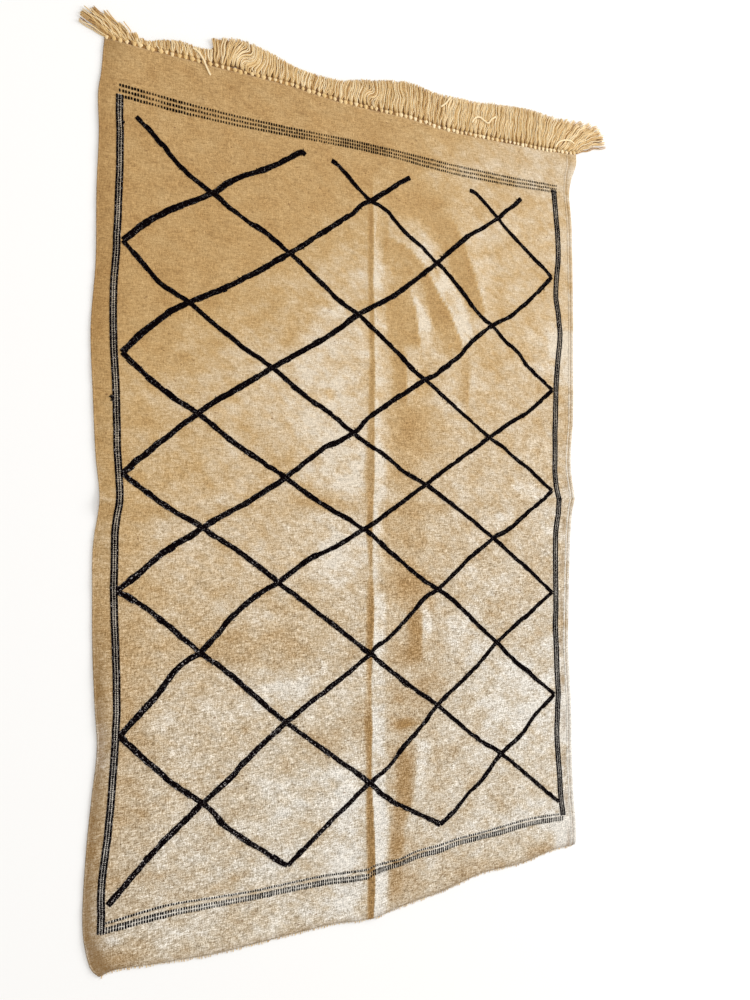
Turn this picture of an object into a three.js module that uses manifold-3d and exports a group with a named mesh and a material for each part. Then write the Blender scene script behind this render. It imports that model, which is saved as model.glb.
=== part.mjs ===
// A Moroccan flat-woven wool kilim, laid out flat, with knotted warp tassels along one end.
// Units are millimetres and +Z is up. The warps run along Y with the tassels at +Y, the wefts along X.
// The rug keeps the creases of being stored folded in four, and it is as uneven as handwoven cloth is.

import * as THREE from "three";
import { mergeVertices } from "three/addons/utils/BufferGeometryUtils.js";
import Module from "manifold-3d";

const wasm = await Module();
wasm.setup();

// Driving dimensions.
const clothWidth = 1500;
const clothLength = 2350;
const clothThickness = 3;
const pieceGap = 0.3;

// How far each selvedge stands out past half the cloth's width, going up the rug.
const selvedgeRows = [
  { y: -1175, left: -17, right: 0 },
  { y: -1158, left: -1, right: 4 },
  { y: -1130, left: 10, right: 4 },
  { y: -1070, left: 21, right: 1 },
  { y: -1000, left: 23, right: -6 },
  { y: -860, left: 16, right: -11 },
  { y: -745, left: 6, right: -11 },
  { y: -620, left: -6, right: -17 },
  { y: -520, left: 0, right: -23 },
  { y: -380, left: 7, right: -20 },
  { y: -240, left: 9, right: -15 },
  { y: -120, left: 9, right: -9 },
  { y: 0, left: -5, right: 3 },
  { y: 110, left: 5, right: -7 },
  { y: 260, left: 13, right: 4 },
  { y: 430, left: 20, right: 7 },
  { y: 600, left: 10, right: 8 },
  { y: 780, left: 10, right: 6 },
  { y: 930, left: 6, right: 4 },
  { y: 1030, left: 9, right: -5 },
  { y: 1085, left: 2, right: 5 },
  { y: 1140, left: -2, right: 26 },
  { y: 1175, left: -5, right: 26 },
];

// How far the two woven ends stand out past half the cloth's length, going across the rug.
const endRows = [
  { x: -750, top: 8, bottom: 12 },
  { x: -715, top: 7, bottom: 4 },
  { x: -650, top: 5, bottom: 9 },
  { x: -560, top: 5, bottom: 17 },
  { x: -460, top: 5, bottom: 23 },
  { x: -260, top: 5, bottom: 21 },
  { x: -120, top: -5, bottom: 20 },
  { x: 0, top: -4, bottom: 30 },
  { x: 110, top: -2, bottom: 15 },
  { x: 240, top: -9, bottom: 0 },
  { x: 390, top: -5, bottom: -27 },
  { x: 530, top: 2, bottom: -29 },
  { x: 660, top: 10, bottom: -48 },
  { x: 750, top: 20, bottom: -50 },
];

// Soft ridges that stand up from the floor: `reach` is the width of each flank, `rise` the height of
// the crest at each point that it passes.
const folds = {
  lengthwiseCrease: {
    reach: 38,
    crest: [
      { x: 14, y: 1010, rise: 0 },
      { x: 14, y: 860, rise: 4 },
      { x: 15, y: 710, rise: 8 },
      { x: 20, y: 520, rise: 9 },
      { x: 16, y: 260, rise: 9 },
      { x: 10, y: 0, rise: 8 },
      { x: 18, y: -180, rise: 9 },
      { x: 23, y: -400, rise: 9 },
      { x: 11, y: -600, rise: 8 },
      { x: 21, y: -850, rise: 8 },
      { x: 24, y: -1220, rise: 6 },
    ],
  },
  crosswiseCrease: {
    reach: 45,
    crest: [
      { x: -790, y: -8, rise: 8 },
      { x: -600, y: -20, rise: 7 },
      { x: -330, y: -14, rise: 4 },
      { x: 0, y: -26, rise: 4 },
      { x: 340, y: -6, rise: 4 },
      { x: 540, y: 12, rise: 6 },
      { x: 790, y: 20, rise: 10 },
    ],
  },
  foldBesideCrease: {
    reach: 60,
    crest: [
      { x: 130, y: 440, rise: 0 },
      { x: 142, y: 280, rise: 4 },
      { x: 148, y: 60, rise: 3 },
      { x: 170, y: -240, rise: 4 },
      { x: 182, y: -380, rise: 6 },
      { x: 156, y: -560, rise: 4 },
      { x: 148, y: -770, rise: 6 },
      { x: 112, y: -970, rise: 4 },
      { x: 76, y: -1220, rise: 3 },
    ],
  },
  lowRipple: {
    reach: 48,
    crest: [
      { x: 90, y: 690, rise: 0 },
      { x: 146, y: 610, rise: 5 },
      { x: 152, y: 480, rise: 5 },
      { x: 130, y: 390, rise: 0 },
    ],
  },
  middleRipple: {
    reach: 52,
    crest: [
      { x: 40, y: 850, rise: 0 },
      { x: 120, y: 775, rise: 6 },
      { x: 225, y: 665, rise: 6 },
      { x: 290, y: 560, rise: 5 },
      { x: 320, y: 440, rise: 0 },
    ],
  },
  upperRipple: {
    reach: 50,
    crest: [
      { x: 240, y: 910, rise: 0 },
      { x: 330, y: 780, rise: 5 },
      { x: 385, y: 640, rise: 4 },
      { x: 400, y: 520, rise: 0 },
    ],
  },
};

// Grid spacing of the sheet in bands, finer where the creases are.
const columnBands = [
  { to: -715, step: 17 },
  { to: -90, step: 88 },
  { to: -30, step: 30 },
  { to: 66, step: 12 },
  { to: 410, step: 35 },
  { to: clothWidth / 2, step: 85 },
];
const rowBands = [
  { to: -1130, step: 15 },
  { to: -75, step: 75 },
  { to: 60, step: 17 },
  { to: clothLength / 2, step: 75 },
];

// The tassels, going across the rug: their length, how far they lean towards +X in degrees, and the
// width of their bunch of strands. Those at the two corners are flung outwards.
const tasselCount = 84;
const tasselInset = 7;
const tasselRows = [
  { x: -750, length: 92, lean: -80, width: 28 },
  { x: -725, length: 96, lean: -58, width: 26 },
  { x: -706, length: 76, lean: -34, width: 22 },
  { x: -680, length: 34, lean: -14, width: 16 },
  { x: -620, length: 40, lean: -14, width: 16 },
  { x: -560, length: 52, lean: -22, width: 17 },
  { x: -480, length: 50, lean: -25, width: 17 },
  { x: -455, length: 86, lean: 2, width: 17 },
  { x: -400, length: 94, lean: 12, width: 18 },
  { x: -330, length: 92, lean: 4, width: 17 },
  { x: -220, length: 79, lean: 2, width: 17 },
  { x: -95, length: 67, lean: 0, width: 17 },
  { x: 10, length: 94, lean: -3, width: 17 },
  { x: 110, length: 119, lean: -4, width: 17 },
  { x: 300, length: 121, lean: -2, width: 17 },
  { x: 500, length: 131, lean: 4, width: 17 },
  { x: 600, length: 126, lean: 16, width: 18 },
  { x: 660, length: 132, lean: 36, width: 20 },
  { x: 705, length: 165, lean: 52, width: 24 },
  { x: 730, length: 176, lean: 66, width: 24 },
  { x: 750, length: 158, lean: 79, width: 26 },
];
// How much the tassels vary: a share of the length and some degrees of the lean, each as a wave that
// turns by `turn` radians from one tassel to the next. Near its knot a tassel has part of its lean.
const lengthVariation = { share: 0.05, turn: 2.4 };
const leanVariation = { degrees: 3, turn: 3.7 };
const leanAtKnot = 0.6;

// A tassel's sections from its knot to its cut end. Along the knot, `along` is in millimetres from the
// cloth's edge; past it, `along` is a share of what is left and `spread` a share of the bunch's width.
const knotLength = 15;
const knotSections = [
  { along: 1.5, width: 12, height: 8 },
  { along: knotLength, width: 10, height: 5 },
];
const strandSections = [
  { along: 0.45, spread: 1, height: 4.5 },
  { along: 1, spread: 0.85, height: 3 },
];
const headerDepth = 9;
const headerHeight = 4;

// A smooth curve through one column of a table, read at `at` (a cubic with Catmull-Rom slopes).
function readColumn(rows, key, column, at) {
  const last = rows.length - 1;
  const clamped = THREE.MathUtils.clamp(at, rows[0][key], rows[last][key]);
  let i = 0;
  while (i < last - 1 && clamped > rows[i + 1][key]) i += 1;
  const slope = (k) => {
    const before = rows[Math.max(k - 1, 0)];
    const after = rows[Math.min(k + 1, last)];
    return (after[column] - before[column]) / (after[key] - before[key]);
  };
  const span = rows[i + 1][key] - rows[i][key];
  const t = (clamped - rows[i][key]) / span;
  const startPart = (2 * t ** 3 - 3 * t ** 2 + 1) * rows[i][column];
  const endPart = (3 * t ** 2 - 2 * t ** 3) * rows[i + 1][column];
  const startSlope = (t ** 3 - 2 * t ** 2 + t) * span * slope(i);
  const endSlope = (t ** 3 - t ** 2) * span * slope(i + 1);
  return startPart + endPart + startSlope + endSlope;
}

// The place on the floor of the cloth's point (u, v): u runs from 0 to 1 across, v from 0 to 1 up.
function clothPlace(u, v) {
  const x = (u - 0.5) * clothWidth;
  const y = (v - 0.5) * clothLength;
  const left = -clothWidth / 2 - readColumn(selvedgeRows, "y", "left", y);
  const right = clothWidth / 2 + readColumn(selvedgeRows, "y", "right", y);
  const bottom = -clothLength / 2 - readColumn(endRows, "x", "bottom", x);
  const top = clothLength / 2 + readColumn(endRows, "x", "top", x);
  return new THREE.Vector2(
    THREE.MathUtils.lerp(left, right, u),
    THREE.MathUtils.lerp(bottom, top, v),
  );
}

// The height that one fold gives at a place: a cosine bump over the distance to the nearest crest.
function foldHeight(fold, place) {
  let nearest = Infinity;
  let rise = 0;
  for (let i = 0; i + 1 < fold.crest.length; i += 1) {
    const start = fold.crest[i];
    const end = fold.crest[i + 1];
    const along = new THREE.Vector2(end.x - start.x, end.y - start.y);
    const toPlace = new THREE.Vector2(place.x - start.x, place.y - start.y);
    const t = THREE.MathUtils.clamp(toPlace.dot(along) / along.lengthSq(), 0, 1);
    const distance = toPlace.addScaledVector(along, -t).length();
    if (distance < nearest) {
      nearest = distance;
      rise = THREE.MathUtils.lerp(start.rise, end.rise, t);
    }
  }
  if (nearest >= fold.reach) return 0;
  return (rise * (1 + Math.cos((Math.PI * nearest) / fold.reach))) / 2;
}

// How far the underside of the cloth lies above the floor: the highest fold at that place.
function clothLift(place) {
  return Math.max(...Object.values(folds).map((fold) => foldHeight(fold, place)));
}

// Grid lines from `from` up through bands of steps, as shares from 0 to 1 of the whole span.
function gridLines(from, bands) {
  const lines = [from];
  for (const band of bands) {
    const start = lines[lines.length - 1];
    const count = Math.max(1, Math.round((band.to - start) / band.step));
    for (let i = 1; i <= count; i += 1) lines.push(start + ((band.to - start) * i) / count);
  }
  const whole = lines[lines.length - 1] - from;
  return lines.map((line) => (line - from) / whole);
}

// The sheet's own grid lines, across it and up it.
const across = gridLines(-clothWidth / 2, columnBands);
const up = gridLines(-clothLength / 2, rowBands);

// A closed sheet over a grid: a top and an underside one thickness apart, and walls round the rim.
function makeClothGeometry() {
  const columns = across.length;
  const layer = columns * up.length;
  const positions = [];
  for (const thickness of [0, clothThickness]) {
    for (const v of up) {
      for (const u of across) {
        const place = clothPlace(u, v);
        positions.push(place.x, place.y, clothLift(place) + thickness);
      }
    }
  }
  const faces = [];
  const addQuad = (a, b, c, d) => faces.push(a, b, c, a, c, d);
  for (let row = 0; row + 1 < up.length; row += 1) {
    for (let column = 0; column + 1 < columns; column += 1) {
      const corner = row * columns + column;
      const ring = [corner, corner + 1, corner + columns + 1, corner + columns];
      addQuad(...ring.map((index) => index + layer));
      addQuad(...ring.reverse());
    }
  }
  const addWall = (a, b) => addQuad(a, b, b + layer, a + layer);
  const topRow = layer - columns;
  for (let column = 0; column + 1 < columns; column += 1) {
    addWall(column, column + 1);
    addWall(topRow + column + 1, topRow + column);
  }
  for (let start = 0; start < topRow; start += columns) {
    addWall(start + columns, start);
    addWall(start + columns - 1, start + 2 * columns - 1);
  }
  return geometryOf(positions, faces);
}

// A geometry from flat lists of coordinates and of face corners.
function geometryOf(positions, faces) {
  const geometry = new THREE.BufferGeometry();
  geometry.setAttribute("position", new THREE.Float32BufferAttribute(positions, 3));
  geometry.setIndex(faces);
  geometry.computeVertexNormals();
  return geometry;
}

// A closed strip that lies on the floor along a path. Each section is a box face `width` wide across
// the path and `height` high, centred on its place.
function makeStripSolid(sections) {
  const positions = [];
  const skyward = new THREE.Vector3(0, 0, 1);
  const last = sections.length - 1;
  sections.forEach((section, i) => {
    const before = sections[Math.max(i - 1, 0)].place;
    const after = sections[Math.min(i + 1, last)].place;
    const side = after.clone().sub(before).normalize().cross(skyward);
    const toLeft = section.place.clone().addScaledVector(side, -section.width / 2);
    const toRight = section.place.clone().addScaledVector(side, section.width / 2);
    positions.push(toLeft.x, toLeft.y, 0, toRight.x, toRight.y, 0);
    positions.push(toRight.x, toRight.y, section.height, toLeft.x, toLeft.y, section.height);
  });
  const sides = 4;
  const faces = [0, 1, 2, 0, 2, 3];
  for (let i = 0; i < last; i += 1) {
    for (let k = 0; k < sides; k += 1) {
      const a = i * sides + k;
      const b = i * sides + ((k + 1) % sides);
      faces.push(a, a + sides, b + sides, a, b + sides, b);
    }
  }
  const end = last * sides;
  faces.push(end, end + 2, end + 1, end, end + 3, end + 2);
  return solidOf(geometryOf(positions, faces));
}

// A closed three.js geometry as a solid that can be joined to others.
function solidOf(geometry) {
  geometry.deleteAttribute("normal");
  const merged = mergeVertices(geometry);
  return new wasm.Manifold(
    new wasm.Mesh({
      numProp: 3,
      vertProperties: merged.attributes.position.array,
      triVerts: new Uint32Array(merged.index.array),
    }),
  );
}

// A place a little above the cloth's top edge, at u across it, where the fringe begins.
function fringePlace(u, distance) {
  const next = Math.max(1, across.findIndex((line) => line >= u));
  const share = (u - across[next - 1]) / (across[next] - across[next - 1]);
  const edge = clothPlace(across[next - 1], 1).lerp(clothPlace(across[next], 1), share);
  return new THREE.Vector3(edge.x, edge.y + pieceGap + distance, 0);
}

// The header that joins the knots, following the cloth's top edge from corner to corner.
function makeHeader() {
  const sections = across.map((u) => ({
    place: fringePlace(u, headerDepth / 2),
    width: headerDepth,
    height: headerHeight,
  }));
  return makeStripSolid(sections);
}

// One tassel: a knot against the cloth's edge, then a flat bunch of strands that curves to its lean.
function makeTassel(index) {
  const inset = tasselInset / clothWidth;
  const u = THREE.MathUtils.lerp(inset, 1 - inset, index / (tasselCount - 1));
  const x = (u - 0.5) * clothWidth;
  const longer = lengthVariation.share * Math.sin(index * lengthVariation.turn);
  const length = readColumn(tasselRows, "x", "length", x) * (1 + longer);
  const turnedMore = leanVariation.degrees * Math.cos(index * leanVariation.turn);
  const lean = THREE.MathUtils.degToRad(readColumn(tasselRows, "x", "lean", x) + turnedMore);
  const bunchWidth = readColumn(tasselRows, "x", "width", x);
  const knotEnd = fringePlace(u, knotLength);
  const freeLength = Math.max(length - knotLength, knotLength);
  const sections = knotSections.map((section) => ({
    ...section,
    place: fringePlace(u, section.along),
  }));
  for (const { along, spread, height } of strandSections) {
    const turned = lean * THREE.MathUtils.lerp(leanAtKnot, 1, along);
    const direction = new THREE.Vector3(Math.sin(turned), Math.cos(turned), 0);
    const place = knotEnd.clone().addScaledVector(direction, freeLength * along);
    sections.push({ place, width: bunchWidth * spread, height });
  }
  return makeStripSolid(sections);
}

// The whole fringe as one comb.
function makeFringeGeometry() {
  let comb = makeHeader();
  for (let index = 0; index < tasselCount; index += 1) comb = comb.add(makeTassel(index));
  const mesh = comb.getMesh();
  return geometryOf(Array.from(mesh.vertProperties), Array.from(mesh.triVerts));
}

function makeGroundCloth() {
  const wool = new THREE.MeshStandardMaterial({ color: 0xcdb088, roughness: 0.95, metalness: 0 });
  const cloth = new THREE.Mesh(makeClothGeometry(), wool);
  cloth.name = "ground_cloth";
  return cloth;
}

function makeWarpFringe() {
  const yarn = new THREE.MeshStandardMaterial({ color: 0xd2b381, roughness: 0.9, metalness: 0 });
  const fringe = new THREE.Mesh(makeFringeGeometry(), yarn);
  fringe.name = "warp_fringe";
  return fringe;
}

// The origin is on the floor under the middle of the rug's box.
const kilim = new THREE.Group();
kilim.add(makeGroundCloth(), makeWarpFringe());
const middle = new THREE.Box3().setFromObject(kilim).getCenter(new THREE.Vector3());
kilim.children.forEach((piece) => piece.position.set(-middle.x, -middle.y, 0));

export default kilim;
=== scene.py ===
import bpy
import numpy as np
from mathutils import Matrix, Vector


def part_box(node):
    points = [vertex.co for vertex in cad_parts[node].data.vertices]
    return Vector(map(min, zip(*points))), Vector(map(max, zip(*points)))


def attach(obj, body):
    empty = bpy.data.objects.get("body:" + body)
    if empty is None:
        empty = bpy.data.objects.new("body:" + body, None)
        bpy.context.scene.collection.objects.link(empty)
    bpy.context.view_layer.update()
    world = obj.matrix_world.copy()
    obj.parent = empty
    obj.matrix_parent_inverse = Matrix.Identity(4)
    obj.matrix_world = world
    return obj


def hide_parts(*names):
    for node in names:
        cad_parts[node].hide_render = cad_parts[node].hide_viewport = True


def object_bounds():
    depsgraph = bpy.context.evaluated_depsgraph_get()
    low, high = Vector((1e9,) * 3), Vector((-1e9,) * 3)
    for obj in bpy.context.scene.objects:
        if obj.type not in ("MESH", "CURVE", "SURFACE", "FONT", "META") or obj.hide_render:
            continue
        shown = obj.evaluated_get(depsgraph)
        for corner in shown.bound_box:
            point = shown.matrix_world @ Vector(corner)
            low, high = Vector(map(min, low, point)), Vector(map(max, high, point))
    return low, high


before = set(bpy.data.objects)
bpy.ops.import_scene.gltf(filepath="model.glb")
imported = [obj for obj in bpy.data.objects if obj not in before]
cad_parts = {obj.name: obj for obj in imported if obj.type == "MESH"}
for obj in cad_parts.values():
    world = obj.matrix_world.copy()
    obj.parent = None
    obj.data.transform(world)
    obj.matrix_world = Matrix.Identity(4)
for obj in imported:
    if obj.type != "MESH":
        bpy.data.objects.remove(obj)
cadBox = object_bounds()
print("kilim: the frame is loaded")

mm = 0.001
up = np.array([0.0, 0.0, 1.0])

# The camera stands over the rug's left side, 2 m up, and looks down and a little to the right.
cameraFacts = {
    "place": (-0.956, -0.112, 2.011),  # metres, from the middle of the rug on the floor
    "turn": (0.0287, -0.434, 0.0008),
    "lens": 27.04,
    "sensor": 36.0,
}


def makeCamera(facts):
    # The camera's place is the middle of the rug's box on the floor plus a fixed step.
    low, high = (np.array(corner) for corner in cadBox)
    middle = (low + high) / 2 * (1, 1, 0)
    lens = bpy.data.cameras.new("camera")
    lens.lens = facts["lens"]
    lens.sensor_width = facts["sensor"]
    camera = bpy.data.objects.new("camera", lens)
    camera.location = middle + facts["place"]
    camera.rotation_euler = facts["turn"]
    bpy.context.scene.collection.objects.link(camera)
    bpy.context.scene.camera = camera


makeCamera(cameraFacts)

# The plan of the cloth, in millimetres from its own middle. `left` and `right` say how far the two
# selvedges stand out past half the width going up the rug, `top` and `bottom` how far the two ends
# stand out past half the length going across it.
clothFacts = {
    "width": 1500,
    "length": 2350,
    "thickness": 3,
    "columns": [(-738, 3), (-700, 7), (-40, 14), (-6, 6), (60, 4), (430, 9), (700, 14), (714, 7),
                (750, 3)],
    "rows": [(-1120, 7), (-70, 13), (60, 9), (1150, 12), (1175, 7)],
}
selvedges = {
    "at": [-1175, -1158, -1130, -1070, -1000, -860, -745, -620, -520, -380, -240, -120,
           0, 110, 260, 430, 600, 780, 930, 1030, 1085, 1140, 1175],
    "left": [-17, -1, 10, 21, 23, 16, 6, -6, 0, 7, 9, 9, -5, 5, 13, 20, 10, 10, 6, 9, 2, -2, -5],
    "right": [0, 4, 4, 1, -6, -11, -11, -17, -23, -20, -15, -9, 3, -7, 4, 7, 8, 6, 4, -5, 5, 26, 26],
}
ends = {
    "at": [-750, -715, -650, -560, -460, -260, -120, 0, 110, 240, 390, 530, 660, 750],
    "top": [8, 7, 5, 5, 5, 5, -5, -4, -2, -9, -5, 2, 10, 20],
    "bottom": [12, 4, 9, 17, 23, 21, 20, 30, 15, 0, -27, -29, -48, -50],
}

# Creases and ripples. A crest is a line that runs up the rug or to the right, in rows of (x, y,
# rise, width of the flank at its left hand, width of the flank at its right hand). `dark` and
# `pale` say how strongly painted shade darkens the flank that faces away from the light and how
# strongly painted light brightens the flank that faces it. A `foot` above 1 makes the flanks run
# out softly, and a `crown` above 1 rounds the crest.
folds = [
    {   # the lengthwise crease
        "crown": 1, "foot": 1.5, "dark": 1.9, "pale": 2.2,
        "crest": [(14, -1220, 4, 20, 45), (19, -1120, 6, 24, 50), (19, -1000, 6, 26, 50),
                  (14, -900, 6, 24, 50), (9, -800, 3, 18, 45), (9, -720, 3, 20, 45), (11, -660, 4, 28, 45),
                  (9, -600, 2, 24, 45), (8, -520, 2, 16, 50), (12, -430, 4, 24, 50), (15, -350, 5, 24, 45),
                  (15, -280, 4, 24, 45), (12, -200, 1, 12, 40), (10, -100, 5, 18, 40), (13, 0, 4, 22, 45),
                  (16, 100, 7, 34, 45), (16, 200, 5, 22, 55), (17, 400, 4, 16, 50), (15, 560, 4, 16, 40),
                  (12, 650, 4, 16, 40), (13, 800, 4, 18, 40), (12, 890, 2, 18, 35), (12, 990, 0, 18, 35)],
    },
    {   # the crosswise crease
        "crown": 1, "foot": 1.4, "dark": 1.2, "pale": 1.2,
        "crest": [(-790, -8, 8, 60, 45), (-600, -18, 6, 60, 45), (-330, -6, 4, 60, 45),
                  (-120, 6, 4, 80, 45), (20, 2, 4, 60, 40), (340, -6, 3, 50, 40),
                  (540, 12, 5, 50, 40), (790, 20, 9, 50, 40)],
    },
    {   # the ripples between the lengthwise crease and the upper right
        "crown": 1, "foot": 1.2, "dark": 4.4, "pale": 0.8,
        "crest": [(412, 585, 0, 40, 40), (404, 612, 3, 50, 45), (390, 655, 5, 65, 60),
                  (372, 700, 6, 80, 75), (352, 750, 7, 95, 80), (333, 800, 7, 110, 80),
                  (308, 850, 6, 120, 80), (285, 895, 3, 120, 80), (275, 925, 0, 120, 80)],
    },
    {
        "crown": 1, "foot": 1.2, "dark": 4.4, "pale": 4.2,
        "crest": [(325, 465, 0, 60, 50), (318, 500, 4, 70, 50), (298, 545, 5, 75, 60),
                  (270, 597, 6, 75, 70), (243, 635, 6, 70, 75), (213, 680, 6, 75, 80),
                  (188, 720, 6, 90, 95), (150, 757, 7, 100, 105), (110, 780, 6, 100, 105),
                  (60, 793, 4, 90, 95), (20, 798, 0, 90, 90)],
    },
    {
        "crown": 1, "foot": 1.2, "dark": 4.4, "pale": 3.4,
        "crest": [(186, 445, 0, 90, 45), (172, 480, 4, 100, 50), (165, 520, 6, 105, 50),
                  (160, 560, 6, 105, 50), (152, 600, 5, 100, 50), (135, 645, 3, 90, 50),
                  (115, 680, 0, 80, 50)],
    },
    {
        "crown": 1, "foot": 1.3, "dark": 3, "pale": 3,
        "crest": [(345, 285, 0, 35, 30), (343, 330, 2, 35, 30), (348, 380, 2, 35, 30),
                  (350, 435, 1, 35, 30)],
    },
    {   # the folds that keep beside the lengthwise crease
        "crown": 1, "foot": 1.3, "dark": 2.8, "pale": 2.0,
        "crest": [(122, 280, 0, 50, 40), (123, 320, 3, 50, 45), (124, 360, 4, 50, 50),
                  (125, 400, 4, 50, 50), (120, 445, 3, 50, 50), (116, 475, 0, 50, 50)],
    },
    {
        "crown": 1.3, "foot": 1.5, "dark": 2.4, "pale": 1.0,
        "crest": [(172, -490, 0, 45, 40), (175, -430, 3, 50, 40), (178, -380, 6, 55, 35),
                  (177, -340, 5, 55, 35), (168, -305, 2, 50, 35), (160, -285, 0, 50, 35)],
    },
    {
        "crown": 1.5, "foot": 1.7, "dark": 2.3, "pale": 0.5,
        "crest": [(110, -1180, 0, 55, 45), (112, -1060, 1.5, 55, 45), (114, -1000, 3, 55, 45),
                  (122, -950, 3, 55, 45), (140, -900, 4, 60, 45), (147, -870, 5, 65, 45),
                  (152, -820, 6, 70, 40), (157, -765, 6, 70, 40), (154, -720, 3, 65, 45),
                  (150, -670, 0, 60, 45)],
    },
]

# The slight waves of a cloth woven by hand, each (wavelength, heading in degrees, height, shift). They
# swing from side to side as they cross the rug from corner to corner.
waveFacts = {
    "waves": [(148, 12, 0.7, 0.4), (97, 78, 0.55, 1.9), (231, -35, 0.9, 3.1), (67, 101, 0.25, 5.2)],
    "swing": 30,
    "swingReach": 170,
}


def readTable(table, column, at):
    # Between two rows the value runs on a cubic that leaves and meets them at the slope between
    # their neighbours.
    keys = np.array(table["at"], float)
    values = np.array(table[column], float)
    before = np.maximum(np.arange(len(keys)) - 1, 0)
    after = np.minimum(np.arange(len(keys)) + 1, len(keys) - 1)
    slopes = (values[after] - values[before]) / (keys[after] - keys[before])
    at = np.clip(at, keys[0], keys[-1])
    i = np.clip(np.searchsorted(keys, at, side="right") - 1, 0, len(keys) - 2)
    span = keys[i + 1] - keys[i]
    t = (at - keys[i]) / span
    ownPart = (2 * t**3 - 3 * t**2 + 1) * values[i] + (t**3 - 2 * t**2 + t) * span * slopes[i]
    nextPart = (3 * t**2 - 2 * t**3) * values[i + 1] + (t**3 - t**2) * span * slopes[i + 1]
    return ownPart + nextPart


def clothPlan(x, y):
    # A point of the cloth lies in the same share of the way from its left edge to its right edge,
    # and from its bottom edge to its top edge, as it does in the plain rectangle.
    halfWidth = clothFacts["width"] / 2
    halfLength = clothFacts["length"] / 2
    left = -halfWidth - readTable(selvedges, "left", y)
    right = halfWidth + readTable(selvedges, "right", y)
    bottom = -halfLength - readTable(ends, "bottom", x)
    top = halfLength + readTable(ends, "top", x)
    across = (x + halfWidth) / (2 * halfWidth)
    along = (y + halfLength) / (2 * halfLength)
    return left + (right - left) * across, bottom + (top - bottom) * along


def foldLift(fold, x, y):
    # The distance to the nearest stretch of the crest, as a share of the flank's width there. The
    # lift is the rise x (1 - share to the power `crown`) to the power `foot`.
    crest = np.array(fold["crest"], float)
    nearest = np.full(x.shape, np.inf)
    lift = np.zeros(x.shape)
    for start, end in zip(crest, crest[1:]):
        spanX, spanY = end[:2] - start[:2]
        t = np.clip(((x - start[0]) * spanX + (y - start[1]) * spanY) / (spanX**2 + spanY**2), 0, 1)
        awayX, awayY = x - start[0] - t * spanX, y - start[1] - t * spanY
        distance = np.hypot(awayX, awayY)
        rise, left, right = (start[k] + (end[k] - start[k]) * t for k in (2, 3, 4))
        reach = np.where(awayX * spanY - awayY * spanX > 0, right, left)
        here = rise * (1 - np.minimum(distance / reach, 1) ** fold["crown"]) ** fold["foot"]
        lift = np.where(distance < nearest, here, lift)
        nearest = np.minimum(nearest, distance)
    return lift


def clothLift(x, y):
    # The highest fold at the place, plus the slight waves, which never go below the floor.
    lift = np.zeros(x.shape)
    for fold in folds:
        lift = np.maximum(lift, foldLift(fold, x, y))
    for length, heading, height, shift in waveFacts["waves"]:
        turn = np.radians(heading)
        swing = waveFacts["swing"] * np.sin((x - y) / waveFacts["swingReach"] + shift)
        place = x * np.cos(turn) + y * np.sin(turn) + swing
        lift = lift + height * (1 + np.sin(2 * np.pi * place / length + shift)) / 2
    return lift


def onCloth(x, y, height=0.0):
    # Points at a height above the cloth's face.
    return np.stack([x, y, clothLift(x, y) + clothFacts["thickness"] + height], axis=-1)


def spacedLines(start, bands):
    # Lines from a start through bands, each divided evenly into steps near its own size.
    parts = [np.array([float(start)])]
    for end, step in bands:
        count = max(1, round((end - start) / step))
        parts.append(np.linspace(start, end, count + 1)[1:])
        start = end
    return np.concatenate(parts)


columnLines = spacedLines(-clothFacts["width"] / 2, clothFacts["columns"])
rowLines = spacedLines(-clothFacts["length"] / 2, clothFacts["rows"])
flatX, flatY = np.meshgrid(columnLines, rowLines)
planX, planY = clothPlan(flatX, flatY)
clothLow, clothHigh = (np.array(corner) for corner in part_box("ground_cloth"))

# Where the cloth's own middle lies in the frame, in metres.
anchor = clothLow - np.array([planX.min(), planY.min(), 0]) * mm


def seenColour(red, green, blue):
    # A colour given in 0 to 255 as the eye sees it, in the linear values that a shader wants.
    share = np.array([red, green, blue]) / 255
    linear = np.where(share <= 0.04045, share / 12.92, ((share + 0.055) / 1.055) ** 2.4)
    return (*linear.tolist(), 1.0)


def addNode(tree, kind, inputs=None, **settings):
    # A shader node with its settings, and with its inputs either linked or set.
    node = tree.nodes.new(kind)
    for name, value in settings.items():
        setattr(node, name, value)
    for name, value in (inputs or {}).items():
        if isinstance(value, bpy.types.NodeSocket):
            tree.links.new(value, node.inputs[name])
        else:
            node.inputs[name].default_value = value
    return node


def calc(tree, operation, first, second):
    # One sum, product or the like of two numbers or sockets.
    return addNode(tree, "ShaderNodeMath", {0: first, 1: second}, operation=operation).outputs[0]


def times(tree, first, second):
    # The product of two numbers or sockets.
    return calc(tree, "MULTIPLY", first, second)


def total(tree, first, *others):
    # The sum of any number of them.
    for other in others:
        first = calc(tree, "ADD", first, other)
    return first


def blendColours(tree, share, first, second):
    # The first colour where the share is 0 and the second where it is 1.
    wanted = {0: share, 6: first, 7: second}
    return addNode(tree, "ShaderNodeMix", wanted, data_type="RGBA").outputs[2]


def scaleColour(tree, colour, factor):
    # A colour with its three parts multiplied by one factor.
    wanted = {0: colour, "Scale": factor}
    return addNode(tree, "ShaderNodeVectorMath", wanted, operation="SCALE").outputs["Vector"]


def rampOf(tree, share, rows):
    # Values at places from 0 to 1, in rows of (place, red, green, blue) or (place, share).
    node = addNode(tree, "ShaderNodeValToRGB", {"Fac": share})
    ramp = node.color_ramp
    while len(ramp.elements) < len(rows):
        ramp.elements.new(0.5)
    for element, (place, *parts) in zip(ramp.elements, rows):
        element.position = place
        element.color = seenColour(*parts) if len(parts) == 3 else (*parts * 3, 1.0)
    return node.outputs["Color"]


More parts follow.
